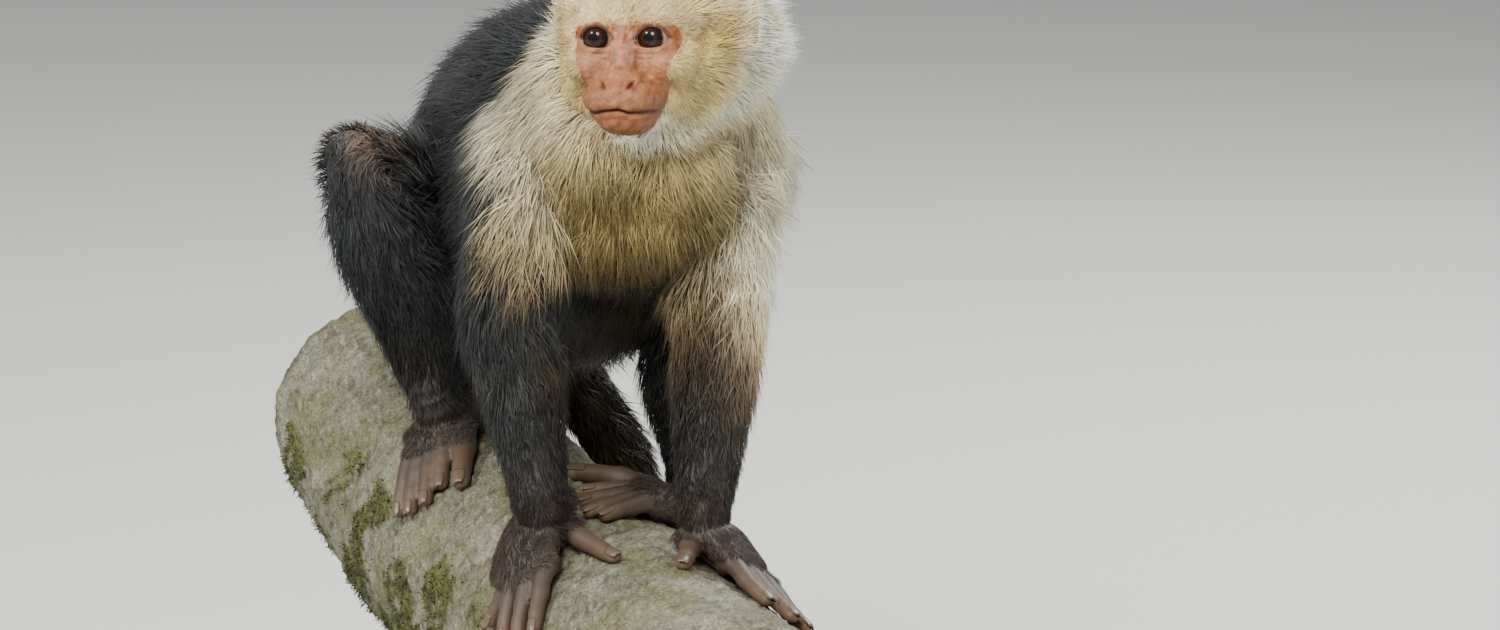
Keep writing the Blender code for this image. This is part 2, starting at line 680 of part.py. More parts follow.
def main():
    clear_scene()
    parts = new_collection("capuchin_on_limb")
    cutters = new_collection("cutters")
    body = whole_body(parts)
    limb_room = make_limb("room_for_limb", cutters, extra=GAP, margin=40)
    pieces, head_room = make_eyes_and_ears(parts, cutters)
    thin = [object_of(cut, "joint_cut", cutters) for cut in joint_cuts()]
    for cutter in [limb_room, head_room] + thin:
        cut_by(body, cutter)
        apply_modifiers(body)
    marks = seeds()
    found = islands(body)
    for name in [name for name in marks if name not in CARVED + ("trunk",)]:
        pieces[name] = object_of(holding(found, name, marks[name]).copy(), name, parts)
    holding(found, "trunk", marks["trunk"]).to_mesh(body.data)
    for name in CARVED:
        piece = new_object(name, body.data.copy(), parts)
        cut_by(piece, object_of(cell(name, 0.0), name + "_cell", cutters), "INTERSECT")
        cut_by(body, object_of(cell(name, GAP), name + "_room", cutters))
        apply_modifiers(piece)
        apply_modifiers(body)
        holding(islands(piece), name, marks[name]).to_mesh(piece.data)
        pieces[name] = piece
    holding(islands(body), "trunk", marks["trunk"]).to_mesh(body.data)
    body.name = "trunk"
    pieces["trunk"] = body
    pieces["perch_limb"] = make_limb("perch_limb", parts)
    pieces["stand_base"] = make_base(parts)
    for name, along in ROD_PLACES.items():
        pieces[name] = make_rod(name, along, parts, limb_room)
    for obj in pieces.values():
        obj.data.shade_smooth()
        paint(obj)
    for cutter in cutters.objects:
        cutter.hide_render = True
        cutter.display_type = "WIRE"


main()
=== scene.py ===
"""A white-faced capuchin as a still, life-size model: skin, coat, eyes and nails on a fixed frame.

It crouches on a cut length of grey limb held by a flat stand. Sizes are in millimetres unless a
name says otherwise, and become metres where a mesh is made. X is the animal's left, Y its rear.
"""
import math

import bpy
import numpy as np
from mathutils import Matrix, Vector


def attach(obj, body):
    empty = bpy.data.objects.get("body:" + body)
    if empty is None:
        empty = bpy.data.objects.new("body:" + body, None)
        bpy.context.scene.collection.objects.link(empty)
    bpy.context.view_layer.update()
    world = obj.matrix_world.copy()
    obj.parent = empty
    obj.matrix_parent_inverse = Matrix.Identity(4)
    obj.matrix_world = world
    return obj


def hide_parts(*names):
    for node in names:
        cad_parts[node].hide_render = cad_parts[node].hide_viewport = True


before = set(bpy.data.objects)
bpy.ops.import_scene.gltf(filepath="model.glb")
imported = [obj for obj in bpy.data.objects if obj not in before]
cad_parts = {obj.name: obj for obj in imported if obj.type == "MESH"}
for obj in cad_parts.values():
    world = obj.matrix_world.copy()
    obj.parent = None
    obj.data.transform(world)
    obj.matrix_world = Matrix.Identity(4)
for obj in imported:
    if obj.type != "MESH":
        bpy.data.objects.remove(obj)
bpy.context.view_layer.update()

# ---- the limb ---------------------------------------------------------------------------------
# A cut length of a living forest limb, 130 mm thick and 460 mm long, sawn square at both ends.
# Its grey bark is thin and nearly smooth, with shallow flakes, pale lichen and, low on the
# animal's right, cushions of green moss.
MM = 0.001  # metres in a millimetre
LIMB_TOP = np.array([0.0, -75.0, 215.0])
LIMB_RADIUS, LIMB_TAPER, LIMB_SLOPE = 65.0, 0.02, math.radians(8.0)
LIMB_ENDS = (-155.0, 305.0)
LIMB_ALONG = np.array([0.0, math.cos(LIMB_SLOPE), math.sin(LIMB_SLOPE)])
LIMB_UP = np.array([0.0, -math.sin(LIMB_SLOPE), math.cos(LIMB_SLOPE)])


def limb_axis(along):
    """The middle line: straight at the slope to 80 mm, then rising by 0.0004 of the square past."""
    along = np.asarray(along, float)
    rise = 0.0004 * np.maximum(along - 80.0, 0.0) ** 2
    start = LIMB_TOP - LIMB_RADIUS * LIMB_UP
    return start + along[..., None] * LIMB_ALONG + rise[..., None] * np.array([0.0, 0.0, 1.0])


def on_limb(along, angle, height=0.0):
    """A point this high over the bark: along the axis, then so many degrees round from its top."""
    along, turn = np.asarray(along, float), np.radians(np.asarray(angle, float))
    swell = np.sin(0.031 * along + 2.0 * turn) + 0.6 * np.sin(3.0 * turn - 0.05 * along)
    radius = LIMB_RADIUS - LIMB_TAPER * along + 0.9 * swell + height
    out = np.sin(turn)[..., None] * np.array([1.0, 0.0, 0.0]) + np.cos(turn)[..., None] * LIMB_UP
    return limb_axis(along) + radius[..., None] * out


def waves(points, size, seed, octaves=4):
    """Soft noise about -1 to 1: sines that run every way, each octave half the size and height."""
    rng = np.random.default_rng(seed)
    total = np.zeros(len(points))
    for octave in range(octaves):
        ways = rng.normal(size=(7, 3))
        ways *= (2.0 ** octave / size) * 2 * math.pi / np.linalg.norm(ways, axis=1)[:, None]
        phase = rng.uniform(0, 2 * math.pi, 7)
        total += np.sin(points @ ways.T + phase).sum(1) / (2.4 * 2.0 ** octave)
    return total


def smoothstep(low, high, value):
    """0 below low and 1 above high, with 3tt - 2ttt between, where t is the share of the way."""
    t = np.clip((np.asarray(value, float) - low) / (high - low), 0.0, 1.0)
    return t * t * (3.0 - 2.0 * t)


def mesh_piece(name, points_mm, faces, smooth=True):
    """A new object from points in millimetres and equal-sided faces, at the origin."""
    mesh = bpy.data.meshes.new(name)
    faces = np.asarray(faces, np.int32)
    count, sides = faces.shape
    mesh.vertices.add(len(points_mm))
    points = np.asarray(points_mm, np.float64) * MM
    mesh.vertices.foreach_set("co", points.astype(np.float32).ravel())
    mesh.loops.add(count * sides)
    mesh.loops.foreach_set("vertex_index", faces.ravel())
    mesh.polygons.add(count)
    mesh.polygons.foreach_set("loop_start", np.arange(0, count * sides, sides, dtype=np.int32))
    mesh.update(calc_edges=True)
    mesh.polygons.foreach_set("use_smooth", np.full(count, smooth))
    piece = bpy.data.objects.new(name, mesh)
    bpy.context.scene.collection.objects.link(piece)
    return piece


def grid_faces(rows, columns, wrap=True):
    """Quads between neighbouring rings of points; a wrapped ring is joined to its own start."""
    across = columns if wrap else columns - 1
    i, j = np.meshgrid(np.arange(rows - 1), np.arange(across), indexing="ij")
    here, k = i * columns, (j + 1) % columns
    return np.stack([here + j, here + k, here + columns + k, here + columns + j], -1).reshape(-1, 4)


def halved(quads):
    """Two triangles for each quad."""
    return np.concatenate([quads[:, [0, 1, 2]], quads[:, [0, 2, 3]]])


def closed_faces(rows, columns):
    """Triangles of a wrapped grid whose end rings close on two added points, its poles."""
    ring, pole = np.arange(columns), np.full(columns, rows * columns)
    after, last = (ring + 1) % columns, (rows - 1) * columns
    return np.concatenate([halved(grid_faces(rows, columns)), np.stack([after, ring, pole], 1),
                           np.stack([last + ring, last + after, pole + 1], 1)])


def facing_out(points, triangles):
    """The triangles of a closed mesh, turned round where its signed volume is below zero."""
    a, b, c = (points[triangles[:, k]] for k in range(3))
    volume = np.einsum("ij,ij->", a, np.cross(b, c)) / 6.0
    return triangles if volume > 0 else triangles[:, ::-1]


def unit(vectors):
    """The same directions at length one."""
    vectors = np.asarray(vectors, float)
    return vectors / np.maximum(np.linalg.norm(vectors, axis=-1, keepdims=True), 1e-9)


def linear(*rgb):
    """A screen colour from 0 to 255 as linear light, a quarter stronger than it is."""
    value = np.array(rgb, float) / 255.0
    value = np.where(value <= 0.04045, value / 12.92, ((value + 0.055) / 1.055) ** 2.4)
    return np.clip(value.mean() + 1.25 * (value - value.mean()), 0.002, 0.95)


def as_tone(colour):
    """Linear light for a screen colour of three numbers; what is linear already stays as it is."""
    return linear(*colour) if isinstance(colour, tuple) else colour


def tinted(tone, colours):
    """Blends colours into the tone one after another, each by its own weight from 0 to 1."""
    for colour, weight in colours:
        tone = tone + (as_tone(colour) - tone) * np.clip(weight, 0, 1)[:, None]
    return tone


def paint_tone(piece, colours):
    """Stores one linear colour for each point of the piece."""
    layer = piece.data.color_attributes.new("tone", "FLOAT_COLOR", "POINT")
    rgba = np.ones((len(colours), 4), np.float32)
    rgba[:, :3] = colours
    layer.data.foreach_set("color", rgba.ravel())


def set_sockets(node, **values):
    """Sets input sockets of a node; an underscore in a name stands for a space."""
    for name, value in values.items():
        node.inputs[name.replace("_", " ")].default_value = value


def new_material(name, painted=True, **values):
    """A Principled material, its nodes, links and shader; a painted one takes the points' tone."""
    material = bpy.data.materials.new(name)
    material.use_nodes = True
    nodes, links = material.node_tree.nodes, material.node_tree.links
    shader = nodes["Principled BSDF"]
    set_sockets(shader, **values)
    if painted:
        tone = nodes.new("ShaderNodeAttribute")
        tone.attribute_name = "tone"
        links.new(tone.outputs["Color"], shader.inputs["Base Color"])
    return material, nodes, links, shader


def texture_node(nodes, links, kind, **values):
    """A texture read at places on the object, in metres, with its sockets set."""
    node = nodes.new("ShaderNodeTex" + kind)
    set_sockets(node, **values)
    links.new(nodes.new("ShaderNodeTexCoord").outputs["Object"], node.inputs["Vector"])
    return node


def bump_node(nodes, links, height, strength, distance, onto):
    """Fine relief from a height, this many metres deep, linked into the socket onto."""
    node = nodes.new("ShaderNodeBump")
    set_sockets(node, Strength=strength, Distance=distance)
    links.new(height, node.inputs["Height"])
    links.new(node.outputs["Normal"], onto)
    return node


LIMB_RINGS, LIMB_SIDES = 200, 230
END_SHARES = (0.985, 0.9, 0.6, 0.3, 0.02)  # the sawn ends' rings, as shares of the limb's radius
stations = np.linspace(*LIMB_ENDS, LIMB_RINGS)
angles = np.arange(LIMB_SIDES) * 360.0 / LIMB_SIDES
grid_along, grid_angle = np.meshgrid(stations, angles, indexing="ij")
smooth = on_limb(grid_along, grid_angle).reshape(-1, 3)
flakes = np.abs(waves(smooth * np.array([1.0, 0.55, 1.0]), 34.0, 5)) ** 0.6
pits = waves(smooth, 9.0, 8, 3)
turned_from_top = grid_angle.ravel() - np.where(grid_angle.ravel() > 180, 360, 0)
moss_place = smoothstep(-50, -96, turned_from_top + 20 * waves(smooth, 80.0, 11, 3)) \
    * smoothstep(-0.3, 1.4, 0.62 + waves(smooth, 46.0, 12, 2) + 0.45 * waves(smooth, 7.0, 22, 2))
relief = -1.3 + 1.1 * flakes + 0.45 * pits + 0.15 * waves(smooth, 3.2, 9, 1) \
    + moss_place * (0.6 + 0.5 * waves(smooth, 4.0, 13, 2))
front_rise = smoothstep(-150, -120, grid_along.ravel()) * 0.3
height = np.clip(relief + front_rise, -2.4, 1.6).reshape(grid_along.shape)
ring_points = on_limb(grid_along, grid_angle, height)
inner = [[limb_axis(stations[end]) + share * (ring_points[end] - limb_axis(stations[end]))
          for share in END_SHARES] for end in (0, -1)]
rings = inner[0][::-1] + [ring_points] + inner[1]
limb_points = np.concatenate([r.reshape(-1, 3) for r in rings] + [limb_axis(np.array(LIMB_ENDS))])
limb_faces = facing_out(limb_points, closed_faces(LIMB_RINGS + 2 * len(END_SHARES), LIMB_SIDES))
limb = mesh_piece("limb_bark", limb_points, limb_faces)

# The bark's colours: grey with darker flakes, pale lichen, a green bloom and the moss.
bark_tone = tinted(np.tile(linear(100, 99, 84), (len(limb_points), 1)), [
    (colour, smoothstep(low, high, waves(limb_points, size, seed, octaves)) * share)
    for colour, low, high, size, seed, octaves, share in (
        ((62, 58, 48), 0.0, 1.2, 8.0, 14, 3, 0.75), ((128, 128, 114), 0.1, 1.1, 30.0, 15, 4, 0.5),
        ((156, 156, 142), 0.8, 1.2, 4.5, 19, 2, 0.35), ((86, 88, 50), 0.0, 1.0, 48.0, 16, 3, 0.4),
        ((98, 80, 52), 0.9, 1.3, 9.0, 20, 2, 0.35))])
on_side = slice(len(END_SHARES) * LIMB_SIDES, (len(END_SHARES) + LIMB_RINGS) * LIMB_SIDES)
covered = np.zeros(len(limb_points))
covered[on_side] = moss_place
moss_tone = tinted(np.tile(linear(52, 55, 27), (len(limb_points), 1)), [
    ((82, 85, 43), smoothstep(-0.3, 0.8, waves(limb_points, 7.0, 17, 3)))])
bark_tone = bark_tone + (moss_tone - bark_tone) * smoothstep(0.1, 0.7, covered)[:, None]
paint_tone(limb, np.clip(bark_tone, 0.003, 0.9))

bark, nodes, links, shader = new_material("bark", Roughness=0.85)
grain = texture_node(nodes, links, "Noise", Scale=420.0, Detail=6.0, Roughness=0.65)
bump_node(nodes, links, grain.outputs["Fac"], 0.8, 0.0012, shader.inputs["Normal"])
speckle = texture_node(nodes, links, "Noise", Scale=780.0, Detail=4.0)
shade_range, speckled = nodes.new("ShaderNodeMapRange"), nodes.new("ShaderNodeVectorMath")
set_sockets(shade_range, From_Min=0.33, From_Max=0.67, To_Min=0.5, To_Max=1.4)
speckled.operation = "MULTIPLY"
links.new(speckle.outputs["Fac"], shade_range.inputs["Value"])
links.new(shader.inputs["Base Color"].links[0].from_socket, speckled.inputs[0])
links.new(shade_range.outputs["Result"], speckled.inputs[1])
links.new(speckled.outputs["Vector"], shader.inputs["Base Color"])
limb.data.materials.append(bark)

# The sawn ends: pale wood with fine yearly rings about the pith.
end_of = np.where(limb_points[:, 1] < 100, *LIMB_ENDS)
from_pith = (limb_points - limb_axis(end_of)) * (MM, 0, MM)
pith = limb.data.attributes.new("pith", "FLOAT_VECTOR", "POINT")
pith.data.foreach_set("vector", from_pith.astype(np.float32).ravel())
sawn_wood, nodes, links, shader = new_material("sawn_wood", painted=False, Roughness=0.7)
pith_node, years = nodes.new("ShaderNodeAttribute"), nodes.new("ShaderNodeTexWave")
pith_node.attribute_name = "pith"
years.wave_type, years.rings_direction = "RINGS", "Y"
set_sockets(years, Scale=62.0, Distortion=3.5, Detail=2.0, Detail_Scale=1.6)
wood_ramp = nodes.new("ShaderNodeValToRGB")
wood_ramp.color_ramp.elements[0].color = (0.34, 0.245, 0.15, 1.0)
wood_ramp.color_ramp.elements[1].color = (0.43, 0.32, 0.20, 1.0)
links.new(pith_node.outputs["Vector"], years.inputs["Vector"])
links.new(years.outputs["Fac"], wood_ramp.inputs["Fac"])
links.new(wood_ramp.outputs["Color"], shader.inputs["Base Color"])
limb.data.materials.append(sawn_wood)
ring_of_face = limb_faces.min(1) // LIMB_SIDES
at_end = (ring_of_face < len(END_SHARES)) | (ring_of_face >= LIMB_RINGS + len(END_SHARES) - 1)
limb.data.polygons.foreach_set("material_index", at_end.astype(np.int32))
limb.data.polygons.foreach_set("use_smooth", ~at_end)
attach(limb, "root")
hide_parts("perch_limb")

# The moss: short fine leaves, each a thin tetrahedron, standing out of its cushions.
LEAVES = 9000
rng = np.random.default_rng(90)
chance = np.cumsum(np.where(moss_place > 0.25, moss_place ** 2, 0.0))
picked = np.searchsorted(chance, rng.random(LEAVES) * chance[-1])
grown = ring_points.reshape(-1, 3)[picked] + rng.normal(size=(LEAVES, 3)) * 0.6
outward = unit(grown - limb_axis(grid_along.ravel()[picked]))
lean = unit(outward + 0.55 * rng.normal(size=(LEAVES, 3)))
side = unit(np.cross(lean, rng.normal(size=(LEAVES, 3))))
other = np.cross(lean, side)
tall, broad = rng.uniform(1.4, 3.4, (LEAVES, 1)), rng.uniform(0.25, 0.5, (LEAVES, 1))
foot = grown - 0.3 * outward
leaf_points = np.stack([foot + broad * side, foot - 0.5 * broad * side + 0.87 * broad * other,
                        foot - 0.5 * broad * side - 0.87 * broad * other, grown + tall * lean],
                       1).reshape(-1, 3)
leaf_faces = np.array([(0, 2, 1), (0, 1, 3), (1, 2, 3), (2, 0, 3)])
leaf_faces = (leaf_faces[None] + 4 * np.arange(LEAVES)[:, None, None]).reshape(-1, 3)
moss = mesh_piece("limb_moss", leaf_points, facing_out(leaf_points, leaf_faces))
leaf_tone = moss_tone[on_side][picked] * rng.uniform(0.75, 1.25, (LEAVES, 1))
foot_to_tip = np.array([0.8, 0.8, 0.8, 1.15])
paint_tone(moss, (leaf_tone[:, None] * foot_to_tip[None, :, None]).reshape(-1, 3))
moss.data.materials.append(new_material("moss", Roughness=0.7)[0])
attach(moss, "root")

# ---- the skin ---------------------------------------------------------------------------------
# One unbroken hide over the whole animal, inside the coat by the coat's depth. The body, legs, arms
# and tail are sleeves of flesh along the bones, made one and smoothed; hands and feet are the same at
# a finer grain; the head is one fine grid with its lids, nose and mouth pressed in.
HEAD = (Matrix.Translation((-1.2, -88.8, 442.2)) @ Matrix.Rotation(math.radians(-38), 4, "Z")
        @ Matrix.Rotation(math.radians(-6), 4, "X") @ Matrix.Rotation(math.radians(-2), 4, "Y"))
HEAD_TURN, HEAD_PLACE = np.array(HEAD.to_3x3()), np.array(HEAD.translation)
EYE_X, EYE_Y, EYE_RADIUS = 12.75, 0.8, 8.5
OPENING = (7.5, 5.5)


def from_head(points):
    """Points given from between the eyes (X left, Y back, Z up) to the frame."""
    return np.asarray(points, float) @ HEAD_TURN.T + HEAD_PLACE


def to_head(points):
    """The same the other way, from the frame to head points."""
    return (np.asarray(points, float) - HEAD_PLACE) @ HEAD_TURN


def bump(value, width):
    """A bell of height 1 round 0: exp of minus (value over width) squared."""
    return np.exp(-(value / width) ** 2)


def curve_through(points, count):
    """A smooth curve (Catmull-Rom) through the rows of points, read at count even steps."""
    points = np.asarray(points, float)
    ends = np.vstack([2 * points[0] - points[1], points, 2 * points[-1] - points[-2]])
    at = np.linspace(0, len(points) - 1, count)
    i = np.minimum(at.astype(int), len(points) - 2)
    t = (at - i)[:, None]
    a, b, c, d = ends[i], ends[i + 1], ends[i + 2], ends[i + 3]
    square, cube = 2 * a - 5 * b + 4 * c - d, 3 * b - a - 3 * c + d
    return 0.5 * (2 * b + (c - a) * t + square * t ** 2 + cube * t ** 3)


def sleeve(points, sizes, over=(0, 0, 1), sides=24, steps=6):
    """A round-ended sleeve of flesh: ellipses (half width, half height) square to a smooth path."""
    points, sizes = np.asarray(points, float), np.asarray(sizes, float)
    if sizes.ndim == 1:
        sizes = np.stack([sizes, sizes], 1)
    path = curve_through(np.hstack([points, sizes]), (len(points) - 1) * steps + 1)
    middle, wide = path[:, :3], np.maximum(path[:, 3:], 0.5)
    along = unit(np.gradient(middle, axis=0))
    side = unit(np.cross(along, np.broadcast_to(np.asarray(over, float), along.shape)))
    top = np.cross(side, along)
    caps = np.radians([88, 70, 45, 22])
    first = [(middle[0] - along[0] * wide[0].mean() * math.sin(c), wide[0] * math.cos(c), 0)
             for c in caps]
    last = [(middle[-1] + along[-1] * wide[-1].mean() * math.sin(c), wide[-1] * math.cos(c), -1)
            for c in caps[::-1]]
    rows = first + [(middle[i], wide[i], i) for i in range(len(middle))] + last
    turn = np.arange(sides) * 2 * math.pi / sides
    rings = [m + np.outer(np.cos(turn) * w[0], side[i]) + np.outer(np.sin(turn) * w[1], top[i])
             for m, w, i in rows]
    count = len(rings)
    faces = grid_faces(count, sides).tolist()
    faces += [list(range(sides))[::-1], [(count - 1) * sides + k for k in range(sides)]]
    return np.concatenate(rings), faces


def arrays_of(piece):
    """The evaluated points, in millimetres, and the triangles of a piece."""
    graph = bpy.context.evaluated_depsgraph_get()
    mesh = piece.evaluated_get(graph).to_mesh()
    mesh.calc_loop_triangles()
    points = np.empty(len(mesh.vertices) * 3, np.float32)
    mesh.vertices.foreach_get("co", points)
    triangles = np.empty(len(mesh.loop_triangles) * 3, np.int32)
    mesh.loop_triangles.foreach_get("vertices", triangles)
    return points.reshape(-1, 3).astype(float) * 1000.0, triangles.reshape(-1, 3)


def settle(piece):
    """Makes the piece's modifiers part of its mesh."""
    graph = bpy.context.evaluated_depsgraph_get()
    done = bpy.data.meshes.new_from_object(piece.evaluated_get(graph))
    old = piece.data
    piece.modifiers.clear()
    piece.data = done
    bpy.data.meshes.remove(old)


def fleshed(name, forms, grain, smooth, kept=1.0):
    """One closed skin round all these forms, remade at an even grain in millimetres and smoothed.

    The share of its triangles that is kept falls first on flat places, so thin forms stay true."""
    points, faces, base = [], [], 0
    for form_points, form_faces in forms:
        points.append(form_points)
        faces += [[k + base for k in face] for face in form_faces]
        base += len(form_points)
    mesh = bpy.data.meshes.new(name)
    mesh.from_pydata((np.concatenate(points) * MM).tolist(), [], faces)
    piece = bpy.data.objects.new(name, mesh)
    bpy.context.scene.collection.objects.link(piece)
    remesh = piece.modifiers.new("even", "REMESH")
    remesh.mode, remesh.voxel_size, remesh.use_smooth_shade = "VOXEL", grain * MM, True
    soften = piece.modifiers.new("soft", "SMOOTH")
    soften.factor, soften.iterations = 0.5, smooth
    if kept < 1:
        piece.modifiers.new("thin", "DECIMATE").ratio = kept
    settle(piece)
    return piece


JOINTS = {
    "withers": (29, -6, 376),
    "shoulder_right": (-6, -4, 382), "elbow_right": (-42, -44, 319), "wrist_right": (-37, -71, 228),
    "shoulder_left": (77, -6, 376), "elbow_left": (56, -58, 310), "wrist_left": (28, -107, 229),
    "hip_right": (0, 126, 312), "knee_right": (-76, 70, 371), "ankle_right": (-31, 78, 250),
    "hip_left": (62, 124, 306), "knee_left": (74, 20, 324), "ankle_left": (57, -26, 230),
}
JOINTS = {name: np.array(place, float) for name, place in JOINTS.items()}


def between(a, b, t):
    """The share t of the way from a to b."""
    return (1 - t) * np.asarray(a) + t * np.asarray(b)


TRUNK_PATH = [(22, -38, 384), (29, -8, 372), (29, 42, 358), (30, 88, 353), (30, 126, 338),
              (28, 153, 316), (27, 162, 293)]
TRUNK_SIZES = [(36, 34), (51, 55), (54, 72), (50, 71), (47, 59), (41, 39), (27, 25)]
TAIL_PATH = [(30, 158, 306), (50, 172, 276), (70, 160, 240), (84, 132, 203), (88, 102, 160),
             (87, 76, 118), (84, 46, 84), (81, 10, 74), (80, -24, 88), (79, -40, 118), (79, -30, 146),
             (79, -6, 158), (79, 14, 148), (79, 18, 128)]
TAIL_SIZES = [14, 12, 11, 10.5, 10, 9.5, 9, 8.5, 8, 7.5, 7, 6, 5, 3.6]
nape_start = from_head([(0, 76, -8), (0, 46, -26)])
LEG_PATHS, SHIN_PATHS, ARM_PATHS = {}, {}, {}
for side, bow in (("right", 14), ("left", 2)):
    hip, knee, ankle = (JOINTS[k + "_" + side] for k in ("hip", "knee", "ankle"))
    down = unit(np.cross(np.cross(ankle - knee, knee - hip), ankle - knee))
    LEG_PATHS[side] = [hip, between(hip, knee, 0.45), between(hip, knee, 0.8), knee]
    SHIN_PATHS[side] = [knee, between(knee, ankle, 0.3) - down * 0.3 * bow,
                        between(knee, ankle, 0.6) - down * bow, ankle]
    shoulder, elbow, wrist = (JOINTS[k + "_" + side] for k in ("shoulder", "elbow", "wrist"))
    ARM_PATHS[side] = [shoulder, between(shoulder, elbow, 0.5), elbow, between(elbow, wrist, 0.3),
                       between(elbow, wrist, 0.7), wrist]
THIGH_SIZES = {"right": (36, 28, 17, 13), "left": (38, 34, 21, 13.5)}
SHIN_SIZES = {"right": (13, 21, 23, 11.5), "left": (13, 18.5, 19.5, 11.5)}
ARM_SIZES = (26, 22, 17.5, 17, 14, 11.5)
MANE = {"right": (10, -18, 418), "left": (62, -22, 408)}

forms = [sleeve(TRUNK_PATH, TRUNK_SIZES, sides=36), sleeve(TAIL_PATH, TAIL_SIZES, over=(1, 0, 0.2)),
         sleeve([nape_start[0], (30, -18, 402), JOINTS["withers"]], (37, 39, 46)),
         sleeve([nape_start[1], (18, -40, 392), (22, -30, 372)], (26, 33, 42))]
for side in ("right", "left"):
    forms += [sleeve(LEG_PATHS[side], THIGH_SIZES[side]), sleeve(SHIN_PATHS[side], SHIN_SIZES[side]),
              sleeve(ARM_PATHS[side], ARM_SIZES, over=(0, 1, 0)),
              sleeve([MANE[side], JOINTS["shoulder_" + side]], (20, 26))]
skin = fleshed("skin", forms, grain=2.6, smooth=5, kept=0.80)

# Hands and feet: a palm or sole, then per digit one sleeve from a knuckle to its tip, in places on
# the limb given as (along, degrees round, height). Each joint of a digit is a little thicker.
# A foot's "palm" is its sole and its "thumb" the big toe.
PAWS = {
    ("hand", "right"): dict(
        palm=((16, -22, 14), (4, -34, 11), (-6, -43, 8)), thumb=((12, -21), (-12, -19), (-37, -15)),
        digits=(((-6, -46), (-3, -66)), ((-5, -45), (-21, -67)), ((-14, -41), (-35, -64)),
                ((-18, -35), (-44, -56)))),
    ("hand", "left"): dict(
        palm=((-33, 21, 14), (-40, 27, 11), (-48, 32, 9)), thumb=((-33, 16), (-44, 13), (-58, 6)),
        digits=(((-53, 25), (-90, 30)), ((-53, 32), (-102, 37)), ((-51, 39), (-98, 46)),
                ((-46, 46), (-86, 57)))),
    ("foot", "right"): dict(
        palm=((186, -6, 8), (166, -16, 9), (150, -29, 8)), thumb=((158, -14), (130, -23), (105, -34)),
        digits=(((151, -38), (131, -60)), ((148, -35), (123, -56)), ((145, -31), (117, -49)),
                ((142, -27), (118, -40)))),
    ("foot", "left"): dict(
        palm=((50, 60, 8), (44, 44, 9), (34, 26, 8)), thumb=((56, 40), (66, 22), (71, 5)),
        digits=(((18, 20), (12, -2)), ((25, 21), (20, -6)), ((33, 22), (33, -4)),
                ((41, 23), (46, 2)))),
}
# How thick a knuckle's root, a digit and the thumb or big toe are, from root to tip.
DIGIT_SIZES = {"hand": ((7, 6, 5), (5, 4.3, 3.6), (6.5, 5, 3.8)),
               "foot": ((8, 6, 5.2), (5.2, 4.4, 3.7), (7, 5.6, 4.6))}
DIGIT_STEPS = 17
NAILS = []


def digit(route, radii, arched):
    """One finger or toe over the bark, with two knuckles that swell and a broad flat tip."""
    first, last = np.array(route[0], float), np.array(route[-1], float)
    half = np.array(route[1], float) if len(route) == 3 else (first + last) / 2
    knots = [on_limb(*first, radii[0] + 1.5 + arched),
             on_limb(*between(first, half, 0.5), radii[1] + 2.2 + arched),
             on_limb(*half, radii[1] + 1.2), on_limb(*between(half, last, 0.5), radii[2] + 0.9),
             on_limb(*last, radii[2] - 0.2)]
    path = curve_through(knots, DIGIT_STEPS)
    t = np.linspace(0, 1, DIGIT_STEPS)
    swell = 1 + 0.13 * bump(t - 0.04, 0.09) + 0.12 * bump(t - 0.5, 0.07) \
        + 0.07 * bump(t - 0.8, 0.06)
    size = np.interp(t, (0, 0.5, 1), radii) * swell - 0.35
    out = unit(knots[-1] - limb_axis(last[0]))
    NAILS.append((path[-1], unit(path[-1] - path[-3]), out, size[-1]))
    across = size * np.interp(t, (0, 0.8, 1), (1, 1, 1.08))
    return sleeve(path, np.stack([across, size], 1), over=out, sides=18, steps=1)


PALMS = {paw: [on_limb(*place) for place in plan["palm"]] for paw, plan in PAWS.items()}
PALM_OUT = {paw: unit(PALMS[paw][1] - limb_axis(plan["palm"][1][0])) for paw, plan in PAWS.items()}
paws = []
for (kind, side), plan in PAWS.items():
    palm, outward = PALMS[kind, side], PALM_OUT[kind, side]
    knuckle, radii, thumb = DIGIT_SIZES[kind]
    if kind == "hand":
        wrist = JOINTS["wrist_" + side]
        bone = between(JOINTS["elbow_" + side], wrist, 0.72)
        sizes = [(12.5, 12.5), (12.2, 11.2), (13.2, 10.2), (16.2, 9.2), (17.2, 7.2)]
        forms = [sleeve([bone, wrist, *palm], sizes, over=outward),
                 sleeve([palm[0], on_limb(*plan["thumb"][0], 7)], (10, 6.5))]
    else:
        ankle = JOINTS["ankle_" + side]
        bone = between(JOINTS["knee_" + side], ankle, 0.86)
        forms = [sleeve([bone, ankle, palm[0]], (9.5, 12.3, 9.5), over=outward),
                 sleeve(palm, [(8.5, 7.5), (12.5, 9), (16, 7.5)], over=outward),
                 sleeve([ankle, palm[1]], (12.5, 8.5))]
    for route in plan["digits"]:
        root = on_limb(*route[0], radii[0] + 1.5)
        forms += [sleeve([palm[1], between(palm[1], root, 0.55), root], knuckle),
                  digit(route, radii, 1.0)]
    thumb_root = on_limb(*plan["thumb"][0], thumb[0] + 1)
    forms += [sleeve([palm[0] if kind == "hand" else palm[1], thumb_root], (8, thumb[0])),
              digit(plan["thumb"], thumb, 0.0)]
    paws.append(fleshed(kind + "_" + side + "_flesh", forms, grain=1.15, smooth=3, kept=0.58))


def ellipsoid(points, place, sizes):
    """About how far points are outside an ellipsoid: below zero within it."""
    offset = points - np.asarray(place, float)
    sizes = np.asarray(sizes, float)
    k = np.linalg.norm(offset / sizes, axis=-1)
    return k * (k - 1.0) / np.maximum(np.linalg.norm(offset / sizes ** 2, axis=-1), 1e-9)


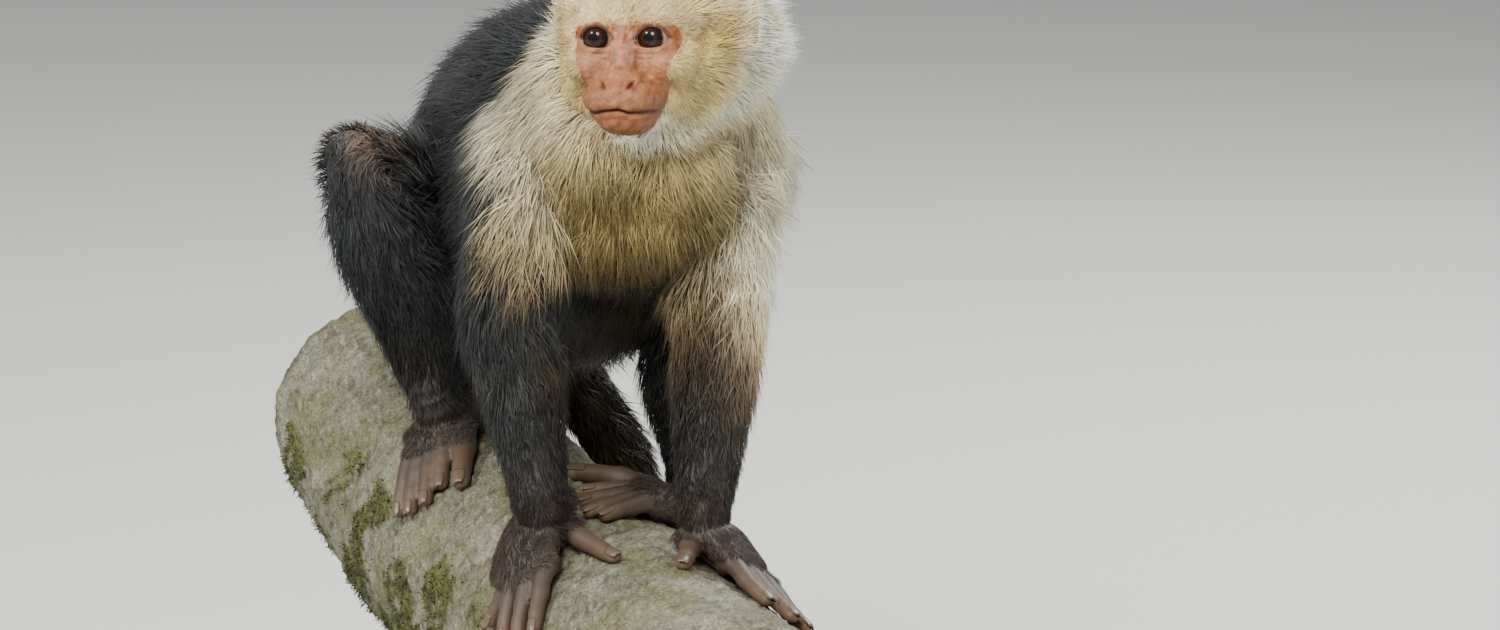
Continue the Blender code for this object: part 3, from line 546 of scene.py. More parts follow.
def capsule(points, a, b, radius):
    """How far points are outside a round rod from a to b."""
    a, b = np.asarray(a, float), np.asarray(b, float)
    t = np.clip((points - a) @ (b - a) / ((b - a) @ (b - a)), 0, 1)[..., None]
    return np.linalg.norm(points - a - t * (b - a), axis=-1) - radius


def merged(one, two, soft):
    """The nearer of two surfaces, blended where they are within soft millimetres of each other."""
    h = np.clip(0.5 + 0.5 * (two - one) / soft, 0, 1)
    return two * (1 - h) + one * h - soft * h * (1 - h)


# Half of the head as (middle, half axes, how softly it joins the rest): cranium, nape,
# eye sockets, muzzle, chin, cheekbone and lip; then the nose's tip, its wing and the eyeball's pad.
SKULL_FORMS = (((0, 34, -16), (35, 37, 23), 8), ((0, 75, -2), (42, 28, 32), 10),
               ((0, 9, -6), (28, 15.5, 19), 5), ((0, 0, -26.5), (17.5, 21, 13), 6),
               ((0, -2, -35.8), (13.0, 14.5, 8), 5), ((17, 1, -12), (10, 9, 7.5), 5),
               ((8, -7.5, -27), (9.8, 12.6, 7.3), 4))
NOSE_AND_EYE_FORMS = (((0, -13.2, -17.8), (7.6, 7.6, 5.6), 3),
                      ((6.6, -11.0, -19.0), (4.4, 6.2, 4.4), 2),
                      ((EYE_X, EYE_Y, 0), (EYE_RADIUS + 1.15,) * 3, 1.6))


def head_field(p):
    """How far head points are outside the bare head, built up from its bones and pads."""
    q = p.copy()
    q[..., 0] = np.abs(q[..., 0])
    f = ellipsoid(q, (0, 46, 4), (38, 49, 33))
    for place, sizes, soft in SKULL_FORMS:
        f = merged(f, ellipsoid(q, place, sizes), soft)
    brow = capsule(q, (3.5, -4.0, 8.6), (14, -2.6, 9.0), 4.4)
    brow = merged(brow, capsule(q, (14, -2.6, 9.0), (25, 5.5, 4.0), 4.0), 2)
    f = merged(f, brow, 3.5)
    f = merged(f, capsule(q, (0, -0.5, 6), (0, -6.5, -6), 4.6), 4)
    f = merged(f, capsule(q, (0, -6.5, -6), (0, -11.5, -15.5), 5.2), 4)
    for place, sizes, soft in NOSE_AND_EYE_FORMS:
        f = merged(f, ellipsoid(q, place, sizes), soft)
    return f


def spread(low, high, count, *dense):
    """Even steps from low to high, closer together at each (middle, width, strength) of dense."""
    fine = np.linspace(low, high, 4000)
    weight = np.ones_like(fine)
    for middle, width, strength in dense:
        weight += strength * np.exp(-((fine - middle) / width) ** 2)
    total = np.concatenate([[0], np.cumsum((weight[1:] + weight[:-1]) / 2)])
    return np.interp(np.linspace(0, total[-1], count), total, fine)


# A grid of rays from inside the head, closest together over the face, walks to the head's surface.
HEAD_ROWS, HEAD_COLUMNS = 250, 165
round_x = spread(-180, 180, HEAD_ROWS + 1, (-12, 34, 7.0), (-26, 4, 7.0), (-15, 4, 4.0),
                 (0, 9, 5.0))[:-1]
across = spread(-88.5, 88.5, HEAD_COLUMNS, (0, 30, 3.0), (0, 9, 1.5))
a, b = np.meshgrid(np.radians(round_x), np.radians(across), indexing="ij")
ways = np.stack([np.sin(b), -np.cos(b) * np.cos(a), np.cos(b) * np.sin(a)], -1).reshape(-1, 3)
heart = np.array([0.0, 30.0, -8.0])
reach = np.full(len(ways), 95.0)
for _ in range(40):
    reach -= 0.85 * head_field(heart + ways * reach[:, None])
face = heart + ways * reach[:, None]


def eye_ring(points):
    """How far out from the nearer eye, where 1 is the edge of its opening, and x and z from it."""
    way = np.where(points[:, 0] < 0, -1.0, 1.0)
    x, z = points[:, 0] - way * EYE_X, points[:, 2]
    medial = -way * x
    z = z + 0.10 * np.maximum(medial, 0) + 0.012 * x ** 2 - 0.35
    half_height = np.where(z > 0, OPENING[1], OPENING[1] * 0.92)
    return np.hypot(x / OPENING[0], z / half_height), x, z


for _ in range(2):
    ring, x, z = eye_ring(face)
    front = face[:, 1] < 8
    near = front & (np.abs(ring - 1.0) * 6.3 < 0.42)
    face[near, 0] += (x * (1.0 / ring - 1.0))[near]
    face[near, 2] += (z * (1.0 / ring - 1.0))[near]
    for _ in range(6):
        face[near, 1] += 0.7 * head_field(face[near])
ring, x, z = eye_ring(face)
front = face[:, 1] < 8
fx, fz, ax = face[:, 0], face[:, 2], np.abs(face[:, 0])


def mouth_height(x):
    """Where the closed mouth lies: a low bow in the middle and corners a little higher."""
    return -33.3 + 1.5 * bump(x + 1.5, 6.5) + 1.1 * smoothstep(9.5, 15.0, np.abs(x)) \
        + 0.2 * np.sin(0.7 * x + 0.7)


# What is pressed in (below zero) or stands out, in millimetres: the mouth and its lips, nostrils and
# their wings, the groove of the upper lip, frown lines, the upper lids' folds, creases under the
# eyes and fine wrinkles.
lips, mouth = fz - mouth_height(fx), smoothstep(17.0, 14.0, ax)
press = np.zeros(len(face))
press -= 2.1 * bump(lips, 0.62) * mouth
press += 0.75 * bump(lips - 2.4, 1.6) * mouth + 0.55 * bump(lips + 2.1, 1.3) * mouth
press -= 3.0 * bump(np.hypot(ax - 6.5 - 0.75 * (fz + 20.7), (fz + 20.7) / 1.6), 0.85)
press -= 0.5 * bump(ax - 10.4 - 0.25 * (fz + 18.5), 0.9) * bump(fz + 19, 3.2)
press += 0.35 * bump(fz + 23.4, 0.8) * smoothstep(9, 5, ax)
press -= 0.45 * bump(fx, 0.7) * bump(fz + 27.5, 3.0)
press -= 0.55 * (bump(ax - 2.0 - 0.1 * (fz - 5), 0.7) * bump(fz - 4.5, 4.5))
press += 0.8 * bump(ax - 4.2, 1.3) * bump(fz - 5.5, 4.0)
press -= 0.7 * bump(ring - 1.52, 0.085) * (z > 0) * smoothstep(-9, -3, z + 9) * (ring > 1.1)
under = smoothstep(-1.0, -5.0, z) * smoothstep(3.5, 9.0, ax)
for at, width, lift in ((1.48, 0.09, -0.34), (1.90, 0.12, -0.20), (1.68, 0.12, 0.22)):
    press += lift * bump(ring - at, width) * under
press += 0.10 * waves(face * np.array([1.0, 1.0, 2.2]), 6.0, 21, 3) * front
steps = 0.05 * np.eye(3)
outward = unit(np.stack([head_field(face + step) - head_field(face - step) for step in steps], 1))
face += outward * (press * front)[:, None]
sunk = front & (ring < 0.97)
face[sunk, 1] = np.maximum(face[sunk, 1], EYE_Y - 2.0 - 3.0 * smoothstep(0.5, 0.97, ring[sunk]))
edges = face.reshape(HEAD_ROWS, HEAD_COLUMNS, 3)
pole_right, pole_left = edges[:, 0].mean(0), edges[:, -1].mean(0)
count = HEAD_ROWS * HEAD_COLUMNS
quads = grid_faces(HEAD_ROWS + 1, HEAD_COLUMNS, wrap=False)[:, [0, 3, 2, 1]] % count
start, pole = np.arange(HEAD_ROWS) * HEAD_COLUMNS, np.full(HEAD_ROWS, count)
after = np.roll(start, -1)
tris = np.concatenate([halved(quads), np.stack([start, pole, after], 1),
                       np.stack([start + HEAD_COLUMNS - 1, after + HEAD_COLUMNS - 1, pole + 1], 1)])
head_points = from_head(np.vstack([face, pole_right, pole_left]))
head = mesh_piece("head_flesh", head_points, facing_out(head_points, tris))

# The lids' wet margins: a thin roll of skin round each opening, on the eyeball.
RIM_SIDES = 8
rims = []
for way_of in (-1.0, 1.0):
    turn = np.radians(np.arange(0, 360, 5.0))
    x = OPENING[0] * np.cos(turn)
    z = np.where(np.sin(turn) > 0, OPENING[1], OPENING[1] * 0.92) * np.sin(turn)
    z = z - 0.10 * np.maximum(-way_of * x, 0) - 0.012 * x ** 2 + 0.35
    y = EYE_Y - np.sqrt(np.maximum((EYE_RADIUS + 0.45) ** 2 - x ** 2 - z ** 2, 1.0))
    line = np.stack([x + way_of * EYE_X, y, z], 1)
    along = unit(np.roll(line, -1, 0) - np.roll(line, 1, 0))
    out = unit(line - np.array([way_of * EYE_X, EYE_Y, 0]))
    side_way = np.cross(along, out)
    thick = (0.62 + 0.12 * np.sin(turn))[:, None, None]
    section = np.radians(np.arange(RIM_SIDES) * 360.0 / RIM_SIDES)[None, :, None]
    roll = line[:, None] + thick * (np.cos(section) * out[:, None]
                                    + np.sin(section) * side_way[:, None])
    rim_points = from_head(roll.reshape(-1, 3))
    rim_faces = halved(grid_faces(len(turn) + 1, RIM_SIDES)) % (len(turn) * RIM_SIDES)
    rims.append(mesh_piece("lid_rim", rim_points, facing_out(rim_points, rim_faces)))

for other in paws + [head] + rims:
    join = skin.modifiers.new("join", "BOOLEAN")
    join.operation, join.solver, join.object = "UNION", "MANIFOLD", other
    settle(skin)
    bpy.data.objects.remove(other)
skin_points, skin_triangles = arrays_of(skin)

# ---- the markings -----------------------------------------------------------------------------
# Guides run inside the body like bones. Each step of one says how thick the flesh is there, which
# way the hair lies, how long and deep it is, and its colour on the outer and on the inner side, so
# that the skin and the coat read the same markings. A point takes a blend of the guides nearest it.
# PAINTED_SHEEN_BLACK is black hair lightened to blue-grey: the sky's sheen on it is painted into its
# colour.
BLACK, PAINTED_SHEEN_BLACK, BELLY = linear(17, 17, 17), linear(46, 49, 50), linear(38, 31, 20)
CREAM, WHITE, GOLD = linear(238, 226, 192), linear(250, 245, 222), linear(150, 128, 84)
TAN, DUSK, TAIL_DARK = linear(184, 168, 134), linear(50, 48, 44), linear(34, 29, 24)
KNEE_BARE = linear(122, 106, 94)
guides = {}
KINDS = ("head", "mantle", "trunk", "arms", "legs", "tail", "bare")


def guide(kind, path, sizes, lengths, depths, outer, inner, out=(0, 0, 1), steps=7, lie=0.0):
    """Adds one guide along a path; each list is spread evenly over it."""
    count = (len(path) - 1) * steps + 1
    place = curve_through(path, count)
    at = np.linspace(0, 1, count)

    def spread_of(values):
        """These values, given at even steps, read along the whole path."""
        values = np.atleast_1d(np.asarray(values, float))
        known = np.linspace(0, 1, len(values))
        if values.ndim == 1:
            return np.interp(at, known, values)
        return np.stack([np.interp(at, known, column) for column in values.T], 1)

    entry = dict(place=place, flow=unit(np.gradient(place, axis=0)), size=spread_of(sizes),
                 length=spread_of(lengths), depth=spread_of(depths),
                 outer=spread_of([as_tone(colour) for colour in outer]),
                 inner=spread_of([as_tone(colour) for colour in inner]),
                 out=np.broadcast_to(unit(out), place.shape),
                 kind=np.full(count, KINDS.index(kind)), u=at, lie=np.full(count, lie))
    for key, values in entry.items():
        guides.setdefault(key, []).append(values)


trunk_mean = [math.sqrt(a * b) for a, b in TRUNK_SIZES]
# The back's upward-facing side takes the black with its painted sheen.
guide("trunk", TRUNK_PATH, trunk_mean, [30, 34, 36, 36, 36, 32, 26], [8, 11, 11, 11, 11, 9, 7],
      [CREAM, PAINTED_SHEEN_BLACK, PAINTED_SHEEN_BLACK, PAINTED_SHEEN_BLACK, BLACK, BLACK, TAIL_DARK],
      [GOLD, (72, 56, 34), BELLY, BELLY, BELLY, BLACK, BLACK], lie=-0.35)
guide("tail", TAIL_PATH, TAIL_SIZES, [26, 24, 24, 22, 20, 16], [5, 5, 5, 5, 4.5, 3.6],
      [TAIL_DARK] * 4, [(58, 46, 34), (70, 56, 40), (74, 60, 42)],
      out=(0.6, 0.3, 0.75), steps=5)
guide("mantle", [nape_start[0], (30, -18, 402), JOINTS["withers"]], (36, 39, 46), (22, 26, 30),
      (7.5, 8, 9.5), [DUSK, BLACK, PAINTED_SHEEN_BLACK], [CREAM, CREAM, TAN], out=(0.1, 0.75, 0.65), lie=-0.2)
guide("mantle", [nape_start[1], (18, -40, 392), (22, -30, 372)], (26, 33, 42), (17, 22, 28),
      (6, 7, 7), [WHITE, CREAM, CREAM], [(190, 168, 122), (156, 132, 88), (132, 110, 68)],
      out=(0, 0.4, 1), lie=-0.5)
for side in ("right", "left"):
    way = -1.0 if side == "right" else 1.0
    guide("mantle", [MANE[side], JOINTS["shoulder_" + side]], (20, 26), (24, 30), (6, 6.5),
          [CREAM, WHITE], [CREAM, CREAM], out=(way, 0, 0.4), lie=-0.5)
    upper, lower = ARM_PATHS[side][:3], ARM_PATHS[side][2:]
    pale = side == "left"
    guide("arms", upper, ARM_SIZES[:3], (32, 30, 27), (8, 7, 5.5),
          [WHITE, WHITE if pale else TAN, CREAM if pale else (92, 80, 66)],
          [CREAM, TAN, (104, 88, 68)], out=(way, -0.1, 0))
    guide("arms", lower, ARM_SIZES[2:], (27, 23, 14, 7), (5.5, 4.2, 2.4, 1.2),
          [(196, 178, 148) if pale else (70, 64, 56),
           (104, 92, 78) if pale else (50, 52, 52), (48, 48, 47), (58, 50, 45)],
          [(92, 74, 54), (54, 48, 42), (38, 38, 38), (54, 45, 40)], out=(way, 0, 0))
    guide("legs", LEG_PATHS[side], THIGH_SIZES[side], (34, 30, 24, 10), (9, 8, 5.5, 2.6),
          [BLACK, BLACK, BLACK, (48, 44, 42)],
          [BLACK, (40, 33, 26), (56, 44, 34), (54, 45, 38)], out=(way, 0, 0.5))
    guide("legs", SHIN_PATHS[side], SHIN_SIZES[side], (12, 25, 20, 8), (2.6, 5, 3.6, 1.4),
          [(46, 43, 41), BLACK, BLACK, (42, 38, 34)], [(44, 39, 36), BLACK, BLACK, BLACK],
          out=(way, 0, 0.3))
skin_tones = [(54, 45, 40), (64, 53, 47), (72, 59, 52)]
for (kind, side), plan in PAWS.items():
    palm, limb_kind = PALMS[kind, side], "arms" if kind == "hand" else "legs"
    start = JOINTS[("wrist_" if kind == "hand" else "ankle_") + side]
    guide(limb_kind, [start, palm[0], palm[1]], (11.5, 10, 11), (9, 7, 5), (1.3, 1.0, 0.8),
          [(44, 39, 36), (52, 45, 41), (64, 54, 48)], skin_tones,
          out=PALM_OUT[kind, side])
    for route in list(plan["digits"]) + [plan["thumb"]]:
        ends = [on_limb(*place, 4.0) for place in route]
        guide(limb_kind, [palm[1], between(palm[2], ends[0], 0.5), ends[0]], (9, 7, 6), (6, 5, 4),
              (1.0, 0.9, 0.7), [(54, 47, 43), (62, 53, 48)], skin_tones[1:])
        guide("bare", ends, (6, 5, 4.2), (1, 1), (0, 0),
              [(56, 47, 41), (62, 51, 43), (82, 65, 50)],
              [(66, 54, 46), (72, 58, 48), (88, 71, 54)])
for places, sizes, lengths, depths, steps in (
        (((0, 40, 2), (0, 52, 3), (0, 62, 2), (0, 76, -2)), (38, 42, 43, 37), (10, 13, 18, 25),
         (5, 6, 9, 13), 3),
        (((0, 22, -18), (0, 40, -20)), (30, 32), (9, 14), (4, 7), 4),
        (((0, 4, -28), (0, 10, -10)), (17, 18), (6, 6), (2, 2), 4)):
    guide("head", [from_head(p) for p in places], sizes, lengths, depths, [CREAM] * 2, [CREAM] * 2,
          steps=steps)
AT_ONCE = 8000  # points read together, to spare memory
GUIDE = {key: np.concatenate(value).astype(np.float32) for key, value in guides.items()}
HEAD_KIND, BARE_KIND = KINDS.index("head"), KINDS.index("bare")
# The bare face: its half width at these heights between the eyes' level and the chin.
FACE_Z = (-48, -45.5, -41, -35, -28, -20, -15, -10, -6, 0, 5, 9, 11)
FACE_X = (4, 12.0, 18.0, 22.0, 23.0, 22.5, 22.5, 24.5, 26.3, 27.5, 25.0, 20, 14)
FACE_FRONT = np.array([0.0, -16.0, -8.0])
FIRST_HAIRS = -2.6  # the bare face's outermost 2.6 mm already carry hair


def out_of_face(q):
    """How far head points are outside the bare face, in millimetres; below zero within it."""
    side = np.abs(q[:, 0]) - np.interp(q[:, 2], FACE_Z, FACE_X)
    under = -45.5 - q[:, 2]
    over = q[:, 2] - 8.2 + 0.9 * np.cos(q[:, 0] * 0.25)
    return np.maximum(np.maximum(side * 0.85, np.maximum(over, under)),
                      (q[:, 1] - np.interp(q[:, 2], (-40, -20, 0), (3, 6, 12))) * 0.8)


def read_guides(points, normals, sharp=8.0, tone_sharp=6.0):
    """For each point: a dictionary of blended kind, flow, length, depth, colour and nearest step.

    A guide's weight falls as exp(-sharp * ratio), where ratio is how far it is in its own sizes."""
    parts = []
    for first in range(0, len(points), AT_ONCE):
        p = points[first:first + AT_ONCE].astype(np.float32)
        n = normals[first:first + AT_ONCE].astype(np.float32)
        away = np.sqrt(np.maximum((p ** 2).sum(1)[:, None] + (GUIDE["place"] ** 2).sum(1)[None]
                                  - 2 * p @ GUIDE["place"].T, 0))
        ratio = away / GUIDE["size"]
        nearest = ratio.argmin(1)
        weight, tone_weight = (np.exp(-(ratio - ratio.min(1, keepdims=True)) * fall)
                               for fall in (sharp, tone_sharp))
        weight /= weight.sum(1, keepdims=True)
        tone_weight /= tone_weight.sum(1, keepdims=True)
        flow = weight @ GUIDE["flow"]
        flow[:, 2] += weight @ GUIDE["lie"]
        outward = smoothstep(-0.45, 0.5, n @ GUIDE["out"].T)
        tone = (tone_weight * outward) @ GUIDE["outer"] \
            + (tone_weight * (1 - outward)) @ GUIDE["inner"]
        parts.append(dict(nearest=nearest, kind=GUIDE["kind"][nearest], flow=flow, tone=tone,
                          length=weight @ GUIDE["length"], depth=weight @ GUIDE["depth"],
                          head=tone_weight @ (GUIDE["kind"] == HEAD_KIND)))
    return {key: np.concatenate([part[key] for part in parts]).astype(float) for key in parts[0]}


def markings(points, found):
    """The colour of the animal at these places, coat and skin alike.

    The head first: cream, whiter towards the nape and chin, warmer at temple and cheek, and the dark
    cap with its ragged edge. Then the dark lower chest, the border behind the pale shoulders and the
    worn knee."""
    q = to_head(points)
    headness = smoothstep(0.35, 0.65, found["head"])
    wide, back = np.abs(q[:, 0]), q[:, 1] + 0.3 * np.abs(q[:, 0])
    ragged = 1.6 * waves(points, 11.0, 31, 3) + 1.6 * waves(points, 3.5, 32, 2)
    cap_half = np.interp(q[:, 1], (26, 36, 50, 72, 95, 118), (-6, 9, 21, 27, 22, 17))
    cap_low = np.interp(q[:, 1], (30, 60, 90, 120), (30, 18, -8, -50))
    temple = np.linalg.norm(np.stack([wide - 33, (q[:, 1] - 20) / 1.5, (q[:, 2] + 1) / 1.7], 1),
                            axis=1)
    cheek = np.hypot(wide - 22, (q[:, 2] + 20) / 1.5)
    head = tinted(np.tile(linear(220, 202, 158), (len(points), 1)), (
        ((228, 204, 168), smoothstep(4, 16, q[:, 2]) * smoothstep(60, 30, back)),
        (WHITE, smoothstep(24, 66, back + 3.0 * waves(points, 9.0, 33, 2))),
        (WHITE, smoothstep(-24, -38, q[:, 2] + 0.25 * q[:, 1]) * smoothstep(-30, 0, q[:, 1])),
        ((198, 164, 92), bump(temple, 10.0) * 0.5),
        ((168, 148, 104), bump(cheek, 6.0) * (q[:, 1] < 20) * 0.5),
        ((27, 21, 18), smoothstep(-4, 4, cap_half - wide + ragged)
         * smoothstep(-5, 5, q[:, 2] - cap_low + ragged) * 0.98)))
    tone = found["tone"] + (head - found["tone"]) * headness[:, None]
    x, y, z = points.T
    off_head = 1 - headness
    chest = z - 0.45 * np.clip(x + 28, 0, 60) + 8 * waves(points, 16.0, 36, 2)
    upper_arm = smoothstep(296, 312, z) * (found["kind"] != HEAD_KIND) * off_head
    behind = y + 0.25 * np.maximum(x - 40, 0) + 5 * waves(points, 14.0, 35, 2)
    behind = behind + (np.clip(398 - z, 0, 80) + 0.9 * np.clip(-x - 50, 0, 30)
                       + 15 * smoothstep(352, 385, z)) * (x < 10)
    knee = np.linalg.norm((points - np.array([-68, 62, 380])) / (12, 15, 11), axis=1)
    strip = np.linalg.norm((points - np.array([-50, 74, 366])) / (13, 12, 9), axis=1)
    # The border behind the pale shoulders is the black with its painted sheen.
    tone = tinted(tone, (
        ((40, 32, 20), smoothstep(350, 318, chest) * (found["kind"] <= 2) * off_head * 0.9),
        (PAINTED_SHEEN_BLACK, smoothstep(2, 20, behind) * upper_arm), (KNEE_BARE, bump(knee, 1.0) * 0.9),
        ((84, 68, 56), bump(strip, 1.0) * 0.8)))
    return tone * (1.0 + 0.10 * waves(points, 26.0, 41, 3))[:, None]


# The hide's colours: the bare face, with painted shade and highlight in its creases and hollows, hands
# and feet that pale towards their tips, and painted shade under the coat.
skin.data.update()
normals = np.empty(len(skin.data.vertices) * 3, np.float32)
skin.data.vertices.foreach_get("normal", normals)
skin_normals = normals.reshape(-1, 3).astype(float)
skin_found = read_guides(skin_points, skin_normals)
skin_tone = markings(skin_points, skin_found)
q = to_head(skin_points)
bare = smoothstep(2.5, -3.0, out_of_face(q) + 0.8 * waves(skin_points, 7.0, 52, 2)) \
    * (q[:, 1] < 14) * (skin_found["kind"] == HEAD_KIND)
ring, x, z = eye_ring(q)
fx, fz, ax = q[:, 0], q[:, 2], np.abs(q[:, 0])
flesh = tinted(np.tile(linear(188, 136, 106), (len(skin_points), 1)), (
    ((170, 122, 76), smoothstep(19, 27, ax)),
    ((198, 152, 128), smoothstep(9, 3, ax) * smoothstep(-24, -4, fz) * 0.8),
    ((200, 156, 132), bump(ring - 1.9, 0.5) * (z < 0) * 0.8),
    ((156, 112, 80), smoothstep(-14, -30, fz) * 0.9),
    ((182, 130, 104), bump(fz + 20, 5) * bump(ax, 8) * 0.7),
    ((178, 120, 92), bump(fz + 36.5, 2.6) * smoothstep(14, 9, ax) * 0.8),
    ((132, 100, 50), smoothstep(-38.0, -45, fz)),
    ((196, 132, 88), bump(fz - 6.2 + 0.02 * (ax - 12) ** 2, 3.0) * smoothstep(1, 6, ax) * 0.8),
    ((164, 98, 48), bump(np.hypot(ax - 23.5, (fz - 1.2) * 0.8), 4.0) * 0.7),
    # Painted light between the brows: an orange line of painted shade on the bridge's left flank, away
    # from the light, and a pale painted highlight on its lit right flank.
    ((192, 108, 62), bump(fx - 1.4, 1.1) * bump(fz, 7.0) * 0.75),
    ((206, 172, 150), bump(fx + 1.6, 1.2) * bump(fz - 0.5, 6.5) * 0.6),
    # Painted shade: dark in the nostrils, at the corners of the mouth and along the crease of the closed
    # mouth.
    ((112, 66, 44), bump(np.hypot(ax - 6.7, (fz + 20.6) * 0.8), 1.4) * 0.7),
    ((118, 74, 44), bump(np.hypot(ax - 17, (fz + 33) * 0.7), 3.5) * 0.6),
    ((92, 48, 22), bump(fz - mouth_height(fx), 0.75) * smoothstep(17.0, 14.5, ax) * 0.9),
    ((226, 196, 178), bump(ring - 1.10, 0.11) * (z < 0.4) * 0.75),
    ((62, 34, 22), bump(ring - 1.06, 0.13) * smoothstep(-0.8, 1.2, z) * 0.92)))
mottled, freckled, warmer = (waves(skin_points, size, seed, octaves)[:, None]
                             for size, seed, octaves in ((5.0, 51, 3), (1.8, 53, 2), (9.0, 54, 2)))
flesh = flesh * (0.52 + 0.09 * mottled + 0.05 * freckled) \
    * (np.array([0.93, 0.80, 0.67]) + np.array([0.0, 0.04, 0.05]) * warmer)
skin_tone = skin_tone + (flesh - skin_tone) * (bare * (skin_points[:, 2] > 350))[:, None]
# The hide under the coat is painted up to 22 in 100 darker: painted shade beneath the hair.
under_coat_shade = (1 - bare) * smoothstep(0.05, 0.8, skin_found["depth"])
skin_tone = skin_tone * (1 - 0.22 * under_coat_shade)[:, None]
paint_tone(skin, np.clip(skin_tone, 0.002, 0.95))
skin.data.polygons.foreach_set("use_smooth", np.ones(len(skin.data.polygons), bool))

hide, nodes, links, shader = new_material(
    "hide", Roughness=0.6, Subsurface_Weight=0.12, Subsurface_Scale=1.0,
    Subsurface_Radius=(0.004, 0.0016, 0.0009))
creases = texture_node(nodes, links, "Voronoi", Scale=620.0)
creases.feature = "DISTANCE_TO_EDGE"
pores = texture_node(nodes, links, "Noise", Scale=1500.0, Detail=3.0)
deep = bump_node(nodes, links, creases.outputs["Distance"], 0.30, 0.0004, shader.inputs["Normal"])
bump_node(nodes, links, pores.outputs["Fac"], 0.35, 0.0003, deep.inputs["Normal"])
skin.data.materials.clear()
skin.data.materials.append(hide)
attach(skin, "root")
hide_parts("head", "neck", "trunk", "tail_1", "tail_2", "tail_3", "tail_4", "upper_arm_left",
            "upper_arm_right", "forearm_left", "forearm_right", "hand_left", "hand_right", "thigh_left",
            "thigh_right", "shin_left", "shin_right", "foot_left", "foot_right")

# ---- the eyes ---------------------------------------------------------------------------------
# Glass eyes as a taxidermist sets them: a ball 17 mm across with a low clear cornea over a wide
# brown iris, looking a little to the animal's right.
GAZE = unit(np.array([-0.10, -1.0, 0.02]))


def build_eye(name, way, node):
    """A ball whose rings run round its line of sight, raised a little over the cornea."""
    middle = np.array([way * EYE_X, EYE_Y, 0])
    angles = np.radians(np.concatenate([np.linspace(0.4, 46, 34), np.linspace(52, 179.6, 18)]))
    turn = np.radians(np.arange(0, 360, 5.0))
    side = unit(np.cross(GAZE, [0, 0, 1]))
    top = np.cross(side, GAZE)
    aa, tt = np.meshgrid(angles, turn, indexing="ij")
    radius = (EYE_RADIUS - 0.05) + 0.42 * np.exp(-(aa / math.radians(30)) ** 4)
    across = np.cos(tt)[..., None] * side + np.sin(tt)[..., None] * top
    out = np.cos(aa)[..., None] * GAZE + np.sin(aa)[..., None] * across
    poles = middle + np.outer((EYE_RADIUS + 0.37, -EYE_RADIUS + 0.05), GAZE)
    world = from_head(np.vstack([(radius[..., None] * out).reshape(-1, 3) + middle, poles]))
    eye = mesh_piece(name, world, facing_out(world, closed_faces(len(angles), len(turn))))
    iris, tt = np.degrees(aa).ravel(), tt.ravel()
    fleck = np.abs(waves(np.stack([np.cos(tt), np.sin(tt), iris * 0.008], 1), 0.34, 61, 3))
    tone = np.tile(linear(40, 22, 13), (len(iris), 1)) * (0.75 + 0.5 * fleck)[:, None]
    tone = tinted(tone, [(colour, smoothstep(low, high, iris)) for colour, low, high in (
        ((17, 10, 7), 20, 34), ((6, 5, 4), 21, 13), ((14, 9, 7), 36, 40), ((150, 124, 110), 44, 50))])
    paint_tone(eye, np.vstack([tone, tone[:1], tone[-1:]]))
    glass = new_material("wet_" + name, Roughness=0.5, Specular_IOR_Level=0.05, Coat_Weight=0.8,
                         Coat_Roughness=0.03, Coat_IOR=1.34)[0]
    eye.data.materials.append(glass)
    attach(eye, "root")
    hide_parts(node)


# ---- the ears ---------------------------------------------------------------------------------
# Small cupped shells of bare skin, 20 mm high, half hidden in the ruff, with a rolled rim.
EAR_PLACE = np.array([44.0, 52.0, 6.0])
EAR_PROFILE = ((0.02, -3.2), (0.35, -3.0), (0.7, -2.2), (0.92, -0.8), (1.0, 0.7), (0.97, 1.5),
               (0.9, 1.6), (0.82, 0.9), (0.72, -0.1), (0.5, -1.0), (0.3, -1.7), (0.02, -2.0))


def build_ear(name, way, node):
    """Rings round the ear's middle: the back, the rolled rim, then down into the bowl."""
    profile = curve_through(EAR_PROFILE, 40)
    turn = np.radians(np.arange(0, 360, 7.5))
    rr, tt = np.meshgrid(profile[:, 0], turn, indexing="ij")
    depth = np.broadcast_to(profile[:, 1][:, None], tt.shape)
    dent = 0.9 * bump(rr - 0.55, 0.12) * np.clip(np.cos(tt - 2.0), 0, 1) * (depth > -2.0)
    local = np.stack([way * (depth + dent), -7.0 * rr * np.cos(tt) * (1 - 0.12 * np.sin(tt)),
                      10.2 * rr * np.sin(tt)], -1).reshape(-1, 3)
    poles = np.array([(way * -3.2, 0, 0), (way * -2.0, 0, 0)])
    spin = np.array(Matrix.Rotation(math.radians(28.0 * way), 3, "Z"))
    world = from_head(np.vstack([local, poles]) @ spin.T + EAR_PLACE * (way, 1, 1))
    ear = mesh_piece(name, world, facing_out(world, closed_faces(len(profile), len(turn))))
    rr, depth = np.append(rr.ravel(), (0, 0)), np.append(depth.ravel(), (-3.2, -2.0))
    # The bowl of the ear is painted darker as it deepens: painted shade inside the cup.
    paint_tone(ear, tinted(np.tile(linear(176, 152, 112), (len(world), 1)), (
        ((118, 92, 64), smoothstep(-0.4, -2.0, depth) * (rr < 0.8) * 0.8),)))
    ear.data.materials.append(hide)
    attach(ear, "root")
    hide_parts(node)


for side, way in (("right", -1.0), ("left", 1.0)):
    build_eye("eyeball_" + side, way, "eye_" + side)
    build_ear("ear_shell_" + side, way, "ear_" + side)

